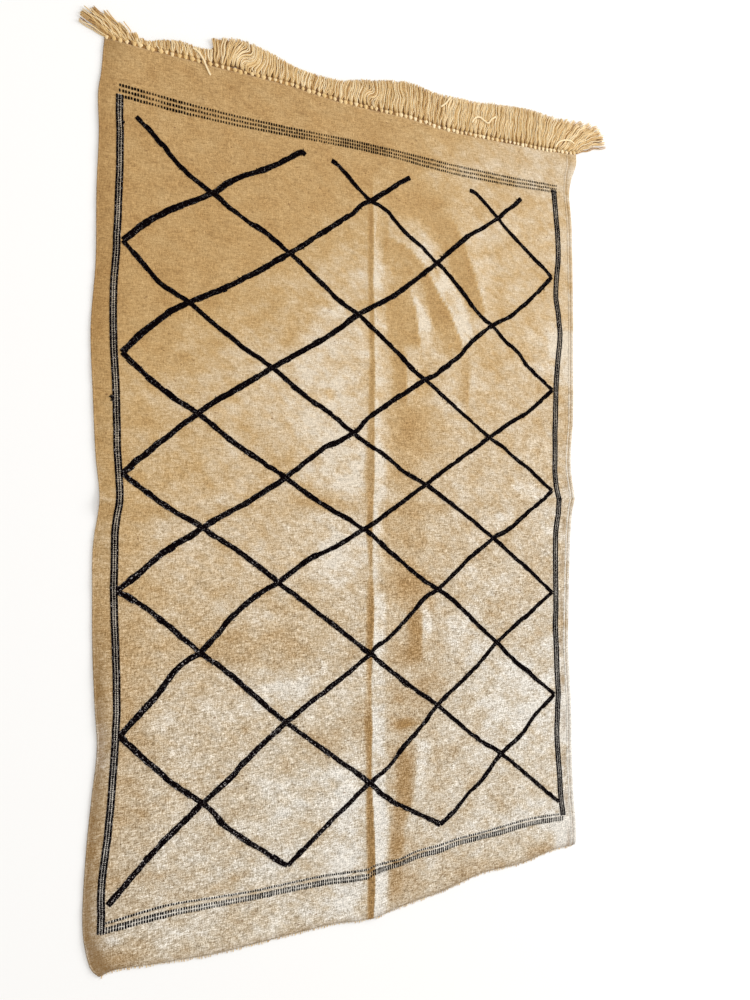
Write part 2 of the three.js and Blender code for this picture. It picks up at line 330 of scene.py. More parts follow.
def noiseOf(tree, where, scale, stretch, heading, detail, roughness):
    # Cloudy noise with `scale` lumps in a metre, drawn out by `stretch` along its own axes, which
    # are turned by `heading` degrees.
    turn = (0, 0, np.radians(heading))
    wanted = {"Vector": where, "Rotation": turn, "Scale": stretch}
    placed = addNode(tree, "ShaderNodeMapping", wanted, vector_type="TEXTURE").outputs[0]
    wanted = {"Vector": placed, "Scale": scale, "Detail": detail, "Roughness": roughness}
    return addNode(tree, "ShaderNodeTexNoise", wanted).outputs["Fac"]


def around(tree, noise, size):
    # A noise moved to lie around 0: (noise - 0.5) x size.
    return times(tree, calc(tree, "SUBTRACT", noise, 0.5), size)


def newMaterial(name, roughness, sheen, gloss):
    # A wool finish: hardly any gloss, and a faint sheen of loose fibres.
    material = bpy.data.materials.new(name)
    material.use_nodes = True
    shader = material.node_tree.nodes["Principled BSDF"]
    wanted = {"Roughness": roughness, "Specular IOR Level": gloss, "Sheen Weight": sheen,
              "Sheen Roughness": 0.6}
    for socket, value in wanted.items():
        shader.inputs[socket].default_value = value
    return material, material.node_tree, shader


def paint(tree, shader, colour, height, strength, distance):
    # Gives the shader its colour, and tilts its normal as if the surface rose by height x distance.
    tree.links.new(colour, shader.inputs["Base Color"])
    wanted = {"Height": height, "Strength": strength, "Distance": distance}
    bump = addNode(tree, "ShaderNodeBump", wanted)
    tree.links.new(bump.outputs["Normal"], shader.inputs["Normal"])


def readAttribute(tree, name):
    # A number that the mesh holds at each of its points.
    return addNode(tree, "ShaderNodeAttribute", attribute_name=name).outputs["Fac"]


# The three yarns. A noise is (lumps in a metre, stretch, heading in degrees, detail, roughness), with
# its size under the same name in `sizes`. A ramp is in rows of (place, red, green, blue) or (place,
# share). `distance` is the height of the bump in metres.
groundWoolFacts = {
    "noises": {
        "wefts": (310, (5, 1, 1), 4, 2, 0.6), "warps": (310, (1, 4, 1), 0, 2, 0.6),
        "grain": (330, (1, 1, 1), 0, 3, 0.75), "nap": (42, (1.8, 1, 1), -30, 2, 0.5),
        "clouds": (15, (1.4, 1, 1), 20, 3, 0.5),
    },
    "sizes": {"wefts": 0.73, "warps": 0.59, "grain": 1.1, "nap": 0.8, "clouds": 1.2},
    "darkBlotches": 0.1,  # how strong the blotches are where the tone is 0
    "weaveTone": 0.6,  # how far the weave moves the tone
    "givenBack": 0.89,  # how much of the ramps' colours the wool gives back
    "golden": [(0.0, 172, 130, 76), (0.25, 192, 154, 100), (0.45, 201, 167, 116),
               (0.65, 211, 184, 144), (0.85, 220, 199, 168), (1.0, 228, 213, 190)],
    "greyed": [(0.0, 168, 130, 77), (0.2, 185, 154, 112), (0.4, 199, 177, 146),
               (0.6, 211, 196, 172), (0.8, 223, 213, 197), (1.0, 236, 231, 222)],
    # the brown of the painted shade at the edges, seam and hollow, and of the darker cut end
    "edge": (126, 92, 42),
    "husks": (130, (1.4, 1, 1), 0, 1, 0.5),
    "huskShare": [(0.74, 0), (0.79, 0.7)],
    "husk": (120, 82, 46),
    "bump": 0.6,
    "distance": 0.0018,
}
darkWoolFacts = {
    "fibre": (500, (1, 1, 1), 0, 3, 0.7),
    "fibreSize": 0.5,
    "shadeTone": 0.6,
    "black": [(0.0, 8, 3, 5), (0.5, 18, 11, 14), (0.9, 62, 54, 60)],
    "lints": (290, (1, 1, 1), 0, 1, 0.5),
    "lintShare": [(0.60, 0), (0.67, 1)],
    "lint": (205, 198, 196),
    "bump": 0.7,
    "distance": 0.0008,
}
fringeYarnFacts = {
    "fibre": (300, (1, 3, 1), 0, 3, 0.7),
    "fibreSize": 0.5,
    "straw": [(0.0, 92, 54, 22), (0.3, 184, 140, 78), (0.6, 226, 191, 130), (1.0, 250, 230, 190)],
    "bump": 0.6,
    "distance": 0.0008,
}


def makeGroundWool(facts):
    # Colour: the tone, plus blotches that grow with it, plus the weave, finds a place on a golden
    # and on a greyed run of wool colours. The weave is noise drawn out along the wefts and along
    # the warps, plus grain; it also lightens and darkens the colour, and it makes the bump. Brown
    # specks of husk lie on it.
    material, tree, shader = newMaterial("ground wool", roughness=0.95, sheen=0.15, gloss=0.1)
    where = addNode(tree, "ShaderNodeTexCoord").outputs["Object"]
    tone, fade, edge, roughness = (
        readAttribute(tree, name) for name in ("tone", "fade", "edge", "roughness"))
    noises = {name: noiseOf(tree, where, *row) for name, row in facts["noises"].items()}
    wefts, warps, grain, nap, clouds = (
        around(tree, noise, facts["sizes"][name]) for name, noise in noises.items())
    weave = times(tree, total(tree, wefts, warps, grain), roughness)
    blotches = times(tree, total(tree, nap, clouds), total(tree, tone, facts["darkBlotches"]))
    mixed = total(tree, tone, blotches, times(tree, weave, facts["weaveTone"]))
    colour = blendColours(tree, fade, *(rampOf(tree, mixed, facts[run]) for run in ("golden", "greyed")))
    colour = scaleColour(tree, colour, total(tree, weave, facts["givenBack"]))
    # the edge share blends in brown: painted shade at the edges, seam and hollow
    colour = blendColours(tree, edge, colour, seenColour(*facts["edge"]))
    huskShare = rampOf(tree, noiseOf(tree, where, *facts["husks"]), facts["huskShare"])
    colour = blendColours(tree, huskShare, colour, seenColour(*facts["husk"]))
    paint(tree, shader, colour, total(tree, weave, blotches), facts["bump"], facts["distance"])
    return material


def makeDarkWool(facts):
    # Black wool with its fibre seen as a faint mottle, greyed in places by rubbing and specked with
    # pale lint. Both grow with the yarn's shade.
    material, tree, shader = newMaterial("dark wool", roughness=0.95, sheen=0.0, gloss=0.02)
    where = addNode(tree, "ShaderNodeTexCoord").outputs["Object"]
    shade = readAttribute(tree, "shade")
    fibre = noiseOf(tree, where, *facts["fibre"])
    mixed = total(tree, times(tree, shade, facts["shadeTone"]), around(tree, fibre, facts["fibreSize"]))
    lintShare = rampOf(tree, noiseOf(tree, where, *facts["lints"]), facts["lintShare"])
    black = rampOf(tree, mixed, facts["black"])
    colour = blendColours(tree, times(tree, lintShare, shade), black, seenColour(*facts["lint"]))
    paint(tree, shader, colour, fibre, facts["bump"], facts["distance"])
    return material


def makeFringeYarn(facts):
    # Undyed warp yarn: the yarn's shade plus its fibre goes from shaded brown through gold to straw.
    material, tree, shader = newMaterial("fringe yarn", roughness=0.85, sheen=0.2, gloss=0.15)
    where = addNode(tree, "ShaderNodeTexCoord").outputs["Object"]
    fibre = noiseOf(tree, where, *facts["fibre"])
    mixed = total(tree, readAttribute(tree, "shade"), around(tree, fibre, facts["fibreSize"]))
    paint(tree, shader, rampOf(tree, mixed, facts["straw"]), fibre, facts["bump"], facts["distance"])
    return material


finishes = {
    "ground_wool": makeGroundWool(groundWoolFacts),
    "dark_wool": makeDarkWool(darkWoolFacts),
    "fringe_yarn": makeFringeYarn(fringeYarnFacts),
}
print("kilim: the yarns have their finishes")


def addPiece(name, points, faceSets, slot, node, **values):
    # Points in the cloth's own millimetres become a mesh in the frame's metres, with one number a
    # point for each of the values. The piece rides with the rug and stands in for one of its nodes.
    mesh = bpy.data.meshes.new(name)
    faces = [face for faceSet in faceSets for face in faceSet.tolist()]
    mesh.from_pydata(points.reshape(-1, 3) * mm + anchor, [], faces)
    mesh.polygons.foreach_set("use_smooth", np.ones(len(mesh.polygons), bool))
    mesh.update()
    for valueName, numbers in values.items():
        attribute = mesh.attributes.new(valueName, "FLOAT", "POINT")
        attribute.data.foreach_set("value", np.ascontiguousarray(numbers, np.float32).ravel())
    mesh.materials.append(finishes[slot])
    piece = bpy.data.objects.new(name, mesh)
    bpy.context.scene.collection.objects.link(piece)
    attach(piece, "root")
    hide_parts(node)
    return piece


# The ground's tones: golden tan in the upper left, paler towards the middle and greyer lower
# down, partly the wool's own colour and partly painted light, brighter towards the lower right.
# Some patches are painted shade and light: the golden and pale bands along the lengthwise and
# crosswise creases, and the pale spot at (150, 462); the strongly paler patches round
# (710, -1100) are a painted highlight. A patch is (x, y, reach across, reach along, change): above
# 0 it is paler. A rise is (least, what is added, low, high): it starts at `low` of its place and
# has added everything at `high`.
groundFacts = {
    "patches": [
        (350, 1050, 230, 170, 0.12), (-60, 660, 110, 150, 0.14), (-150, 320, 160, 200, 0.30),
        (-65, 110, 100, 110, 0.28), (-250, 105, 60, 45, -0.20), (-620, 30, 130, 150, -0.12),
        (120, 40, 80, 400, -0.24), (-700, -560, 70, 560, -0.26), (-560, -330, 150, 130, -0.06),
        (-350, -400, 220, 55, -0.22), (-250, -540, 90, 80, 0.22), (-110, -690, 90, 55, -0.30),
        (-62, -960, 55, 250, 0.32), (340, -420, 90, 130, 0.16), (450, -400, 50, 45, -0.18),
        (570, -640, 170, 150, 0.30), (350, -1135, 180, 40, -0.2), (90, -890, 45, 250, -0.12),
        (200, 900, 130, 80, -0.24), (150, 462, 30, 16, 0.2), (-30, -625, 35, 40, -0.25),
        (118, -660, 42, 18, -0.7), (108, -585, 34, 28, -0.2), (-750, 600, 40, 700, -0.12),
        (500, 1000, 110, 60, -0.16), (120, -455, 65, 28, -0.25), (228, -835, 36, 60, -0.12),
        (45, 820, 30, 60, 0.2), (-60, 600, 45, 30, -0.2), (34, -505, 24, 60, 0.22),
        (-250, 500, 60, 45, -0.22), (150, 235, 80, 65, -0.24), (140, -250, 75, 60, -0.36),
        (190, -560, 90, 110, -0.26), (125, -1050, 60, 110, -0.18), (-150, 0, 55, 30, -0.44),
        (-90, -130, 100, 85, 0.40), (-520, -90, 110, 70, 0.12), (-200, -800, 150, 60, 0.20),
        (-250, -1000, 70, 55, 0.32), (-450, -520, 90, 70, 0.14), (250, -1000, 60, 40, 0.15),
        (480, -1010, 130, 50, 0.15), (706, -1095, 34, 60, 1.1), (660, -1010, 90, 50, 0.35),
        (750, -1110, 40, 90, 0.6), (600, -1118, 75, 24, -0.22), (700, 510, 80, 90, 0.5),
        (748, 200, 30, 60, 0.2), (748, 890, 40, 50, 0.3), (700, -40, 60, 80, 0.2),
        (755, -720, 40, 210, 0.9), (755, -400, 40, 60, -0.4), (510, 0, 90, 60, 0.14),
        (260, 310, 70, 50, 0.22), (80, 600, 35, 50, -0.2), (150, 715, 60, 50, 0.14),
        (-755, -620, 40, 90, 0.42), (-755, -330, 40, 120, -0.16), (-755, -860, 40, 90, -0.16),
        (-702, -1108, 22, 25, 0.35), (-680, -1155, 60, 25, -0.35), (-140, -1125, 90, 35, 0.2),
        (85, -1120, 35, 50, -0.25),
    ],
    "tone": (0.26, 0.36, -850, -450),
    "toneHeading": (0.6, -0.8),  # towards the lower right, where the painted light grows
    "lightHeading": 22,  # the heading, in degrees, of the light: the flanks facing it get painted light
    "flankStep": 3,
    "steepest": 0.2,
    "fadeStart": 330,
    "fadeSlant": 0.4,  # how much higher the grey reaches at the right, in x
    "fadeReach": 1150,
    "mostFade": 0.9,
    "fadeCorner": (650, 1120, 220, 120, 0.3),
    "roughness": (0.8, 0.9, -700, 600),
    "roughnessSlant": 0.3,
}

# How far the wool is browned: painted shade along the left selvedge, in the right seam, in the
# hollow beside it and at the lower left corner, and a darker brown along the cut end and at the
# upper left corner. Lengths are distances in from an edge or from the right seam.
edgeFacts = {
    "left": {"solid": 1.3, "reach": 34, "down": (0.2, 0.5, 200, 500)},
    "seam": {"share": 0.5, "reach": 2.6},
    "hollow": {"share": 0.24, "inset": 18, "reach": 7, "wave": 21, "start": 600, "down": (0, 1, 0, 900)},
    "end": {"share": 0.35, "solid": 1.2, "reach": 14},
    "corners": [(-750, -1175, 60, 90, 0.6), (-730, 1175, 30, 40, 0.3)],
    "most": 0.8,
}

# How far in from the right selvedge the seam of its outer strip runs, going up the rug.
rightSeam = {"at": [-1175, 880, 1000, 1060, 1110, 1150, 1175], "inset": [11, 11, 12, 17, 27, 33, 33]}


def ease(low, high, value):
    # 0 up to `low`, 1 from `high` on, and between them share squared x (3 - 2 x share).
    share = np.clip((value - low) / (high - low), 0, 1)
    return share**2 * (3 - 2 * share)


def riseOf(row, value):
    # The least plus what is added x ease.
    least, added, low, high = row
    return least + added * ease(low, high, value)


def bell(away, reach):
    # e to the power of minus (distance / reach) squared.
    return np.exp(-((away / reach) ** 2))


def patchOf(row, x, y):
    # The change x one bell across x one along.
    patchX, patchY, reachX, reachY, change = row
    return change * bell(x - patchX, reachX) * bell(y - patchY, reachY)


def groundFade(x, y):
    # From 0 for golden wool to 1 for greyed wool, going down the rug and a little to the right:
    # partly the wool's own colour and partly painted light.
    facts = groundFacts
    gone = (facts["fadeStart"] - y + facts["fadeSlant"] * x) / facts["fadeReach"]
    return np.clip(gone, 0, facts["mostFade"]) + patchOf(facts["fadeCorner"], x, y)


def groundTone(x, y):
    # From 0 for golden tan to 1 for cream: a rise towards the lower right, plus each patch, plus
    # the steepness of each fold x its tint, and up to twice that where the wool is greyed. The fold
    # term is painted shade on the flanks that face away from the light and painted light on those
    # that face it; the rise and some patches are partly painted light too.
    facts = groundFacts
    across, along = facts["toneHeading"]
    tone = riseOf(facts["tone"], across * x + along * y)
    for patch in facts["patches"]:
        tone = tone + patchOf(patch, x, y)
    step, turn = facts["flankStep"], np.radians(facts["lightHeading"])
    stepX, stepY = step * np.cos(turn), step * np.sin(turn)
    for fold in folds:
        before, after = foldLift(fold, x - stepX, y - stepY), foldLift(fold, x + stepX, y + stepY)
        steepness = (before - after) / (2 * step)
        # painted shade on flanks that face away from the light, painted light on flanks that face it
        tint = np.where(steepness > 0, fold["pale"], fold["dark"])
        nap = tint * np.clip(steepness, -facts["steepest"], facts["steepest"])
        tone = tone + nap * (1 + groundFade(x, y))
    return tone


def edgeShare(x, y):
    # Painted shade along the left selvedge, more so low down; in the right seam, and in a hollow
    # beside it that comes and goes as 1 + sine and ends higher up; darker brown at the cut end; and
    # most in the left corners, the lower one with painted shade.
    left, seam, hollow, end = (edgeFacts[name] for name in ("left", "seam", "hollow", "end"))
    halfWidth, halfLength = clothFacts["width"] / 2, clothFacts["length"] / 2
    fromSeam = halfWidth - x - readTable(rightSeam, "inset", y)
    share = np.clip(left["solid"] - (x + halfWidth) / left["reach"], 0, 1) * riseOf(left["down"], -y)
    share = share + seam["share"] * bell(fromSeam, seam["reach"])
    fullness = (1 + np.sin(y / hollow["wave"])) * riseOf(hollow["down"], hollow["start"] - y)
    share = share + hollow["share"] * bell(fromSeam - hollow["inset"], hollow["reach"]) * fullness
    share = share + end["share"] * np.clip(end["solid"] - (y + halfLength) / end["reach"], 0, 1)
    for corner in edgeFacts["corners"]:
        share = share + patchOf(corner, x, y)
    return np.clip(share, 0, edgeFacts["most"])


def woolValues(x, y, edge, paler=0.0):
    # What the ground's material reads at each point. The wool is more strongly mottled down the
    # rug, where the nap is brushed up.
    roughness = riseOf(groundFacts["roughness"], groundFacts["roughnessSlant"] * x - y)
    tone = groundTone(x, y) + paler
    return {"tone": tone, "fade": groundFade(x, y), "roughness": roughness, "edge": edge}


def closedSheetFaces(rows, columns):
    # The upper layer faces up, the lower one down, and walls join them round the rim.
    layer = rows * columns
    index = np.arange(layer).reshape(rows, columns)
    ring = [index[:-1, :-1], index[:-1, 1:], index[1:, 1:], index[1:, :-1]]
    quads = np.stack(ring, axis=-1).reshape(-1, 4)
    rim = np.concatenate([index[0], index[1:, -1], index[-1, -2::-1], index[-2:0:-1, 0]])
    ahead = np.roll(rim, -1)
    walls = np.stack([rim, ahead, ahead + layer, rim + layer], axis=-1)
    return [np.concatenate([quads + layer, quads[:, ::-1], walls])]


def makeGroundCloth():
    # Two layers of the plan, the lower one at the lift and the upper one a thickness above it.
    under = np.stack([planX, planY, clothLift(planX, planY)], axis=-1)
    points = np.stack([under, under + up * clothFacts["thickness"]])
    edge = edgeShare(flatX, flatY)
    values = woolValues(points[..., 0], points[..., 1], np.stack([edge, edge]))
    faceSets = closedSheetFaces(*planX.shape)
    return addPiece("ground_cloth_wool", points, faceSets, "ground_wool", "ground_cloth", **values)


groundCloth = makeGroundCloth()
print("kilim: the ground cloth has", len(groundCloth.data.polygons), "faces")


def tubeFaces(count, steps, sides):
    # For `count` tubes of `steps` rings: quads that join each ring to the next, and the caps at the
    # first and the last ring.
    ring = np.arange(sides)
    start = (np.arange(count)[:, None] * steps + np.arange(steps - 1)) * sides
    a = start[..., None] + ring
    b = start[..., None] + (ring + 1) % sides
    quads = np.stack([a, a + sides, b + sides, b], axis=-1).reshape(-1, 4)
    first = np.arange(count)[:, None] * steps * sides + ring
    return [quads, first, first[:, ::-1] + (steps - 1) * sides]


def layYarns(paths, halfWidth, halfHeight, sides):
    # An oval ring round each point of each path, square to the path: `paths` is count x steps x 3,
    # and the half width and half height are count x steps. Rings are joined and both ends capped.
    ahead = np.gradient(paths, axis=1)
    ahead /= np.linalg.norm(ahead, axis=-1, keepdims=True)
    side = np.cross(ahead, up)
    side /= np.linalg.norm(side, axis=-1, keepdims=True)
    above = np.cross(side, ahead)
    angle = 2 * np.pi * np.arange(sides) / sides - np.pi / 2
    outward = np.cos(angle)[:, None] * (side * halfWidth[..., None])[:, :, None]
    raised = np.sin(angle)[:, None] * (above * halfHeight[..., None])[:, :, None]
    return paths[:, :, None] + outward + raised, tubeFaces(*paths.shape[:2], sides)


def perPoint(values, points):
    # One value for each yarn, or for each of its steps, spread over all the points of that yarn.
    return np.broadcast_to(np.reshape(values, (len(points), -1, 1)), points.shape[:3])


def addYarns(name, paths, halfWidth, halfHeight, sides, shade, slot, node):
    # A piece of yarns that have a shade each, or one at each of their steps.
    points, faceSets = layYarns(paths, halfWidth, halfHeight, sides)
    return addPiece(name, points, faceSets, slot, node, shade=perPoint(shade, points))


def evenPath(corners, spacing):
    # A smooth curve through the corners, in points an even distance apart along it.
    corners = np.array(corners, float)
    lengths = np.hypot(*np.diff(corners, axis=0).T)
    table = {"at": np.concatenate([[0], np.cumsum(lengths)]), "x": corners[:, 0], "y": corners[:, 1]}
    fine = np.linspace(0, table["at"][-1], int(table["at"][-1]) + 1)
    x, y = readTable(table, "x", fine), readTable(table, "y", fine)
    travelled = np.concatenate([[0], np.cumsum(np.hypot(np.diff(x), np.diff(y)))])
    even = np.linspace(0, travelled[-1], max(2, round(travelled[-1] / spacing)) + 1)
    return even, np.interp(even, travelled, x), np.interp(even, travelled, y)


def sideways(x, y):
    # The direction to the right of a path, at each of its points.
    alongX, alongY = np.gradient(x), np.gradient(y)
    length = np.hypot(alongX, alongY)
    return alongY / length, -alongX / length


def smoothNoise(random, at, spacing, size):
    # Random knots an even distance apart, joined by straight stretches.
    knots = np.arange(0, at[-1] + 2 * spacing, spacing)
    return np.interp(at, knots, random.normal(0, size, len(knots)))


# The lattice: two sets of black lines, one falling and one rising to the right, that cross in
# seven columns. `x` and `y` give the crossings of a column from the top down, and `falling` and
# `rising` the other points of each line, under the crossing that it comes from. A line is a few
# yarns side by side, each laid in stitches, with loose ends here and there. A pair of numbers is a
# range that a size is drawn from, and `kink` and `swell` are (spacing, size) of a line's unevenness.
latticeFacts = {
    "columns": [
        {"x": [-695, -695, -690, -700, -690], "y": [665, 375, 65, -235, -600]},
        {"x": [-465, -525, -500, -485, -490, -480], "y": [830, 525, 230, -75, -405, -800]},
        {"x": [-245, -295, -255, -275, -250, -245], "y": [700, 370, 65, -225, -615, -1005]},
        {"x": [5, -35, -50, -15, 5, 5], "y": [895, 550, 200, -80, -445, -815]},
        {"x": [230, 190, 190, 230, 230, 240], "y": [740, 375, 55, -265, -615, -975]},
        {"x": [455, 430, 420, 435, 445, 460], "y": [920, 570, 210, -110, -440, -790]},
        {"x": [670, 670, 665, 665, 670], "y": [760, 380, 45, -290, -625]},
    ],
    "falling": {
        (5, 0): [(350, 990), (375, 985), (515, 870)],
        (3, 0): [(-120, 990), (-95, 980), (-50, 940), (35, 885), (65, 870), (110, 825), (170, 785),
                 (260, 725), (325, 660), (375, 605), (405, 585), (490, 520), (535, 490), (570, 450)],
        (1, 0): [(-665, 995), (-600, 935), (-560, 895), (-515, 860), (-425, 805), (-370, 770), (-340, 760),
                 (-205, 670), (-140, 620), (-105, 590), (35, 495), (75, 465), (105, 440), (135, 410),
                 (490, 170)],
        (0, 0): [(-640, 610), (-605, 570), (-555, 540), (-445, 465), (-370, 415), (-200, 300), (-110, 245),
                 (10, 160), (50, 140), (110, 95), (260, 10)],
        (0, 1): [(-640, 325), (-575, 275), (-400, 155), (-200, 25), (-135, -15), (110, -180), (260, -280),
                 (500, -490)],
        (0, 2): [(-585, -15), (-380, -145), (130, -545), (300, -675), (375, -735), (685, -975)],
        (0, 3): [(-665, -255), (-605, -300), (-430, -450), (40, -850), (75, -880), (155, -925)],
        (0, 4): [(-555, -740), (-450, -830), (-430, -860), (-340, -935), (-270, -990)],
    },
    "rising": {
        (0, 0): [(-650, 710), (-585, 760), (-515, 800), (-445, 845), (-420, 870), (-380, 895), (-300, 935),
                 (-230, 985), (-212, 998), (-199, 992)],
        (0, 1): [(-635, 440), (-585, 485), (-550, 510), (-415, 585), (-50, 850), (-25, 875), (85, 955),
                 (138, 990)],
        (0, 2): [(-110, 490), (15, 580), (65, 610), (100, 635), (260, 770), (345, 845), (415, 890),
                 (548, 1000)],
        (0, 3): [(-585, -140), (-145, 150), (-100, 170), (-30, 215), (-10, 240), (45, 280), (220, 390),
                 (290, 445), (320, 470), (335, 490), (490, 600), (520, 620), (600, 690)],
        (0, 4): [(-600, -505), (-550, -445), (-520, -420), (-445, -360), (-415, -325), (-330, -255),
                 (-185, -165), (-125, -140), (500, 260), (570, 300)],
        (1, 5): [(-715, -1015), (-660, -960), (-605, -905), (-400, -740), (-370, -710), (20, -425),
                 (55, -410), (160, -315), (185, -290), (355, -165), (495, -80), (525, -60)],
        (2, 5): [(20, -805), (50, -790), (80, -765), (110, -730), (160, -685), (375, -505)],
        (4, 5): [(280, -950), (340, -895), (380, -870), (535, -740), (600, -675)],
    },
    "width": {"falling": 13.2, "rising": 14.5},
    "narrowing": {"falling": 0.05, "rising": 0.13},  # the share lost half the rug's width to the right
    "pathStep": 8,
    "kink": (40, 0.8),
    "swell": (90, 0.8),
    "yarns": 4,
    "bed": {"steps": 160, "share": 0.46, "halfHeight": 0.8, "sides": 6},
    "stitch": {
        "length": 18, "uneven": 0.3, "overlap": 2, "steps": 4, "sides": 5, "taper": 0.72,
        "stray": (0.25, 0.4),  # in the middle of the line, and what each yarn outwards adds
        "share": 0.64, "widths": (0.85, 1.15), "height": 1.5, "heights": (0.8, 1.1),
    },
    "loose": {"every": 150, "root": 2, "reach": (3, 8), "slant": (-6, 6), "thick": 1.1, "thinner": 0.5,
              "height": 0.8},
    "rubbed": (0.2, 0.65, -200, 1200),  # a rise down the rug, and to its left by `rubbedSlant`
    "rubbedSlant": 0.9,
    "lintPower": 1.5,
    "seed": {"falling": 11, "rising": 12},
}
proud = 0.35  # how far the middle of a dark yarn lies above the cloth's face, in its own height


def nextCrossing(column, row, way):
    # The odd columns sit half a diamond higher than the even ones, so the row changes on every
    # second step.
    if way == "falling":
        return column + 1, row + 1 - column % 2
    return column + 1, row - column % 2


def latticeLines(facts, way):
    # Walks from every crossing that no other one leads to, until the lattice ends, and puts the
    # line's other points between the crossings.
    columns = facts["columns"]
    places = {(c, r): (column["x"][r], column["y"][r])
              for c, column in enumerate(columns) for r in range(len(column["x"]))}
    reached = {nextCrossing(*crossing, way) for crossing in places}
    lines = []
    for crossing in sorted(set(places) - reached):
        line = list(facts[way].get(crossing, []))
        while crossing in places:
            line.append(places[crossing])
            crossing = nextCrossing(*crossing, way)
        if len(line) > 1:
            lines.append(sorted(line))
    return lines


def stitchRow(random, path, rank, pitch, facts):
    # Stitches end to end along a path, `rank` pitches to the right of it: each is a flat oval tube, a
    # little longer, wider or further out than its neighbours. Its width and height fall off from its
    # middle as the square root of (1 - taper x distance cubed), with 1 as the distance to its ends.
    travelled, x, y = path
    count = max(1, round(travelled[-1] / facts["length"]))
    marks = np.linspace(0, travelled[-1], count + 1)
    marks[1:-1] += random.uniform(-facts["uneven"], facts["uneven"], count - 1) * facts["length"]
    steps = np.linspace(0, 1, facts["steps"])
    starts, stops = marks[:-1] - facts["overlap"], marks[1:] + facts["overlap"]
    at = starts[:, None] + (stops - starts)[:, None] * steps
    rightX, rightY = sideways(x, y)
    spacing = np.interp(at, travelled, pitch)
    leastStray, moreStray = facts["stray"]
    shift = rank * spacing + random.normal(0, leastStray + moreStray * abs(rank), count)[:, None]
    atX = np.interp(at, travelled, x) + shift * np.interp(at, travelled, rightX)
    atY = np.interp(at, travelled, y) + shift * np.interp(at, travelled, rightY)
    taper = np.sqrt(1 - facts["taper"] * np.abs(2 * steps - 1) ** 3)
    widths = facts["share"] * spacing * random.uniform(*facts["widths"], count)[:, None] * taper
    heights = facts["height"] * random.uniform(*facts["heights"], count)[:, None] * taper
    return onCloth(atX, atY, proud * facts["height"]), widths, heights


def looseEnds(random, path, halfWidth, steps, facts):
    # Short thin yarn ends that stick out of a line on either side, slant along it and grow thinner.
    travelled, x, y = path
    count = round(travelled[-1] / facts["every"])
    at = random.uniform(0, travelled[-1], count)[:, None]
    side = random.choice([-1, 1], count)[:, None]
    reach = random.uniform(*facts["reach"], count)[:, None]
    slant = random.uniform(*facts["slant"], count)[:, None]
    rightX, rightY = (np.interp(at, travelled, part) for part in sideways(x, y))
    steps = np.linspace(0, 1, steps)
    outward = side * (halfWidth - facts["root"] + reach * steps)
    atX = np.interp(at, travelled, x) + outward * rightX - slant * steps * rightY
    atY = np.interp(at, travelled, y) + outward * rightY + slant * steps * rightX
    thickness = facts["thick"] - facts["thinner"] * steps + 0 * atX
    return onCloth(atX, atY, facts["height"]), thickness, thickness


def makeLattice(facts, way):
    # Each line is a few yarns side by side on a dark bed, with seeded kinks and loose ends, and its
    # width falls in proportion to x. A stitch's shade is random to a power, x a rise down the rug.
    random = np.random.default_rng(facts["seed"][way])
    ranks = np.arange(facts["yarns"]) - (facts["yarns"] - 1) / 2
    stitch, bed = facts["stitch"], facts["bed"]
    parts, beds, bedWidths = [], [], []
    for corners in latticeLines(facts, way):
        travelled, x, y = evenPath(corners, facts["pathStep"])
        rightX, rightY = sideways(x, y)
        kink = smoothNoise(random, travelled, *facts["kink"])
        x, y = x + kink * rightX, y + kink * rightY
        share = 1 - facts["narrowing"][way] * x / (clothFacts["width"] / 2)
        width = facts["width"][way] * share + smoothNoise(random, travelled, *facts["swell"])
        path = (travelled, x, y)
        parts += [stitchRow(random, path, rank, width / facts["yarns"], stitch) for rank in ranks]
        parts.append(looseEnds(random, path, width.mean() / 2, stitch["steps"], facts["loose"]))
        at = np.linspace(0, travelled[-1], bed["steps"])
        beds.append(onCloth(np.interp(at, travelled, x), np.interp(at, travelled, y)))
        bedWidths.append(bed["share"] * np.interp(at, travelled, width))
    paths, widths, heights = (np.concatenate(each) for each in zip(*parts))
    points, faceSets = layYarns(paths, widths, heights, stitch["sides"])
    bedHeights = np.full(np.shape(bedWidths), bed["halfHeight"])
    bedPoints, bedFaceSets = layYarns(np.stack(beds), np.stack(bedWidths), bedHeights, bed["sides"])
    rubbed = riseOf(facts["rubbed"], -paths[:, 0, 1] - facts["rubbedSlant"] * paths[:, 0, 0])
    shades = perPoint(random.uniform(0, 1, len(paths)) ** facts["lintPower"] * rubbed, points)
    faceSets += [faceSet + shades.size for faceSet in bedFaceSets]
    allPoints = np.concatenate([points.reshape(-1, 3), bedPoints.reshape(-1, 3)])
    shade = np.concatenate([shades.ravel(), np.zeros(len(allPoints) - shades.size)])
    name = "lattice_" + way + "_yarns"
    return addPiece(name, allPoints, faceSets, "dark_wool", "ground_cloth", shade=shade)


lattice = [makeLattice(latticeFacts, way) for way in ("falling", "rising")]
print("kilim: the lattice has", sum(len(piece.data.polygons) for piece in lattice), "faces")

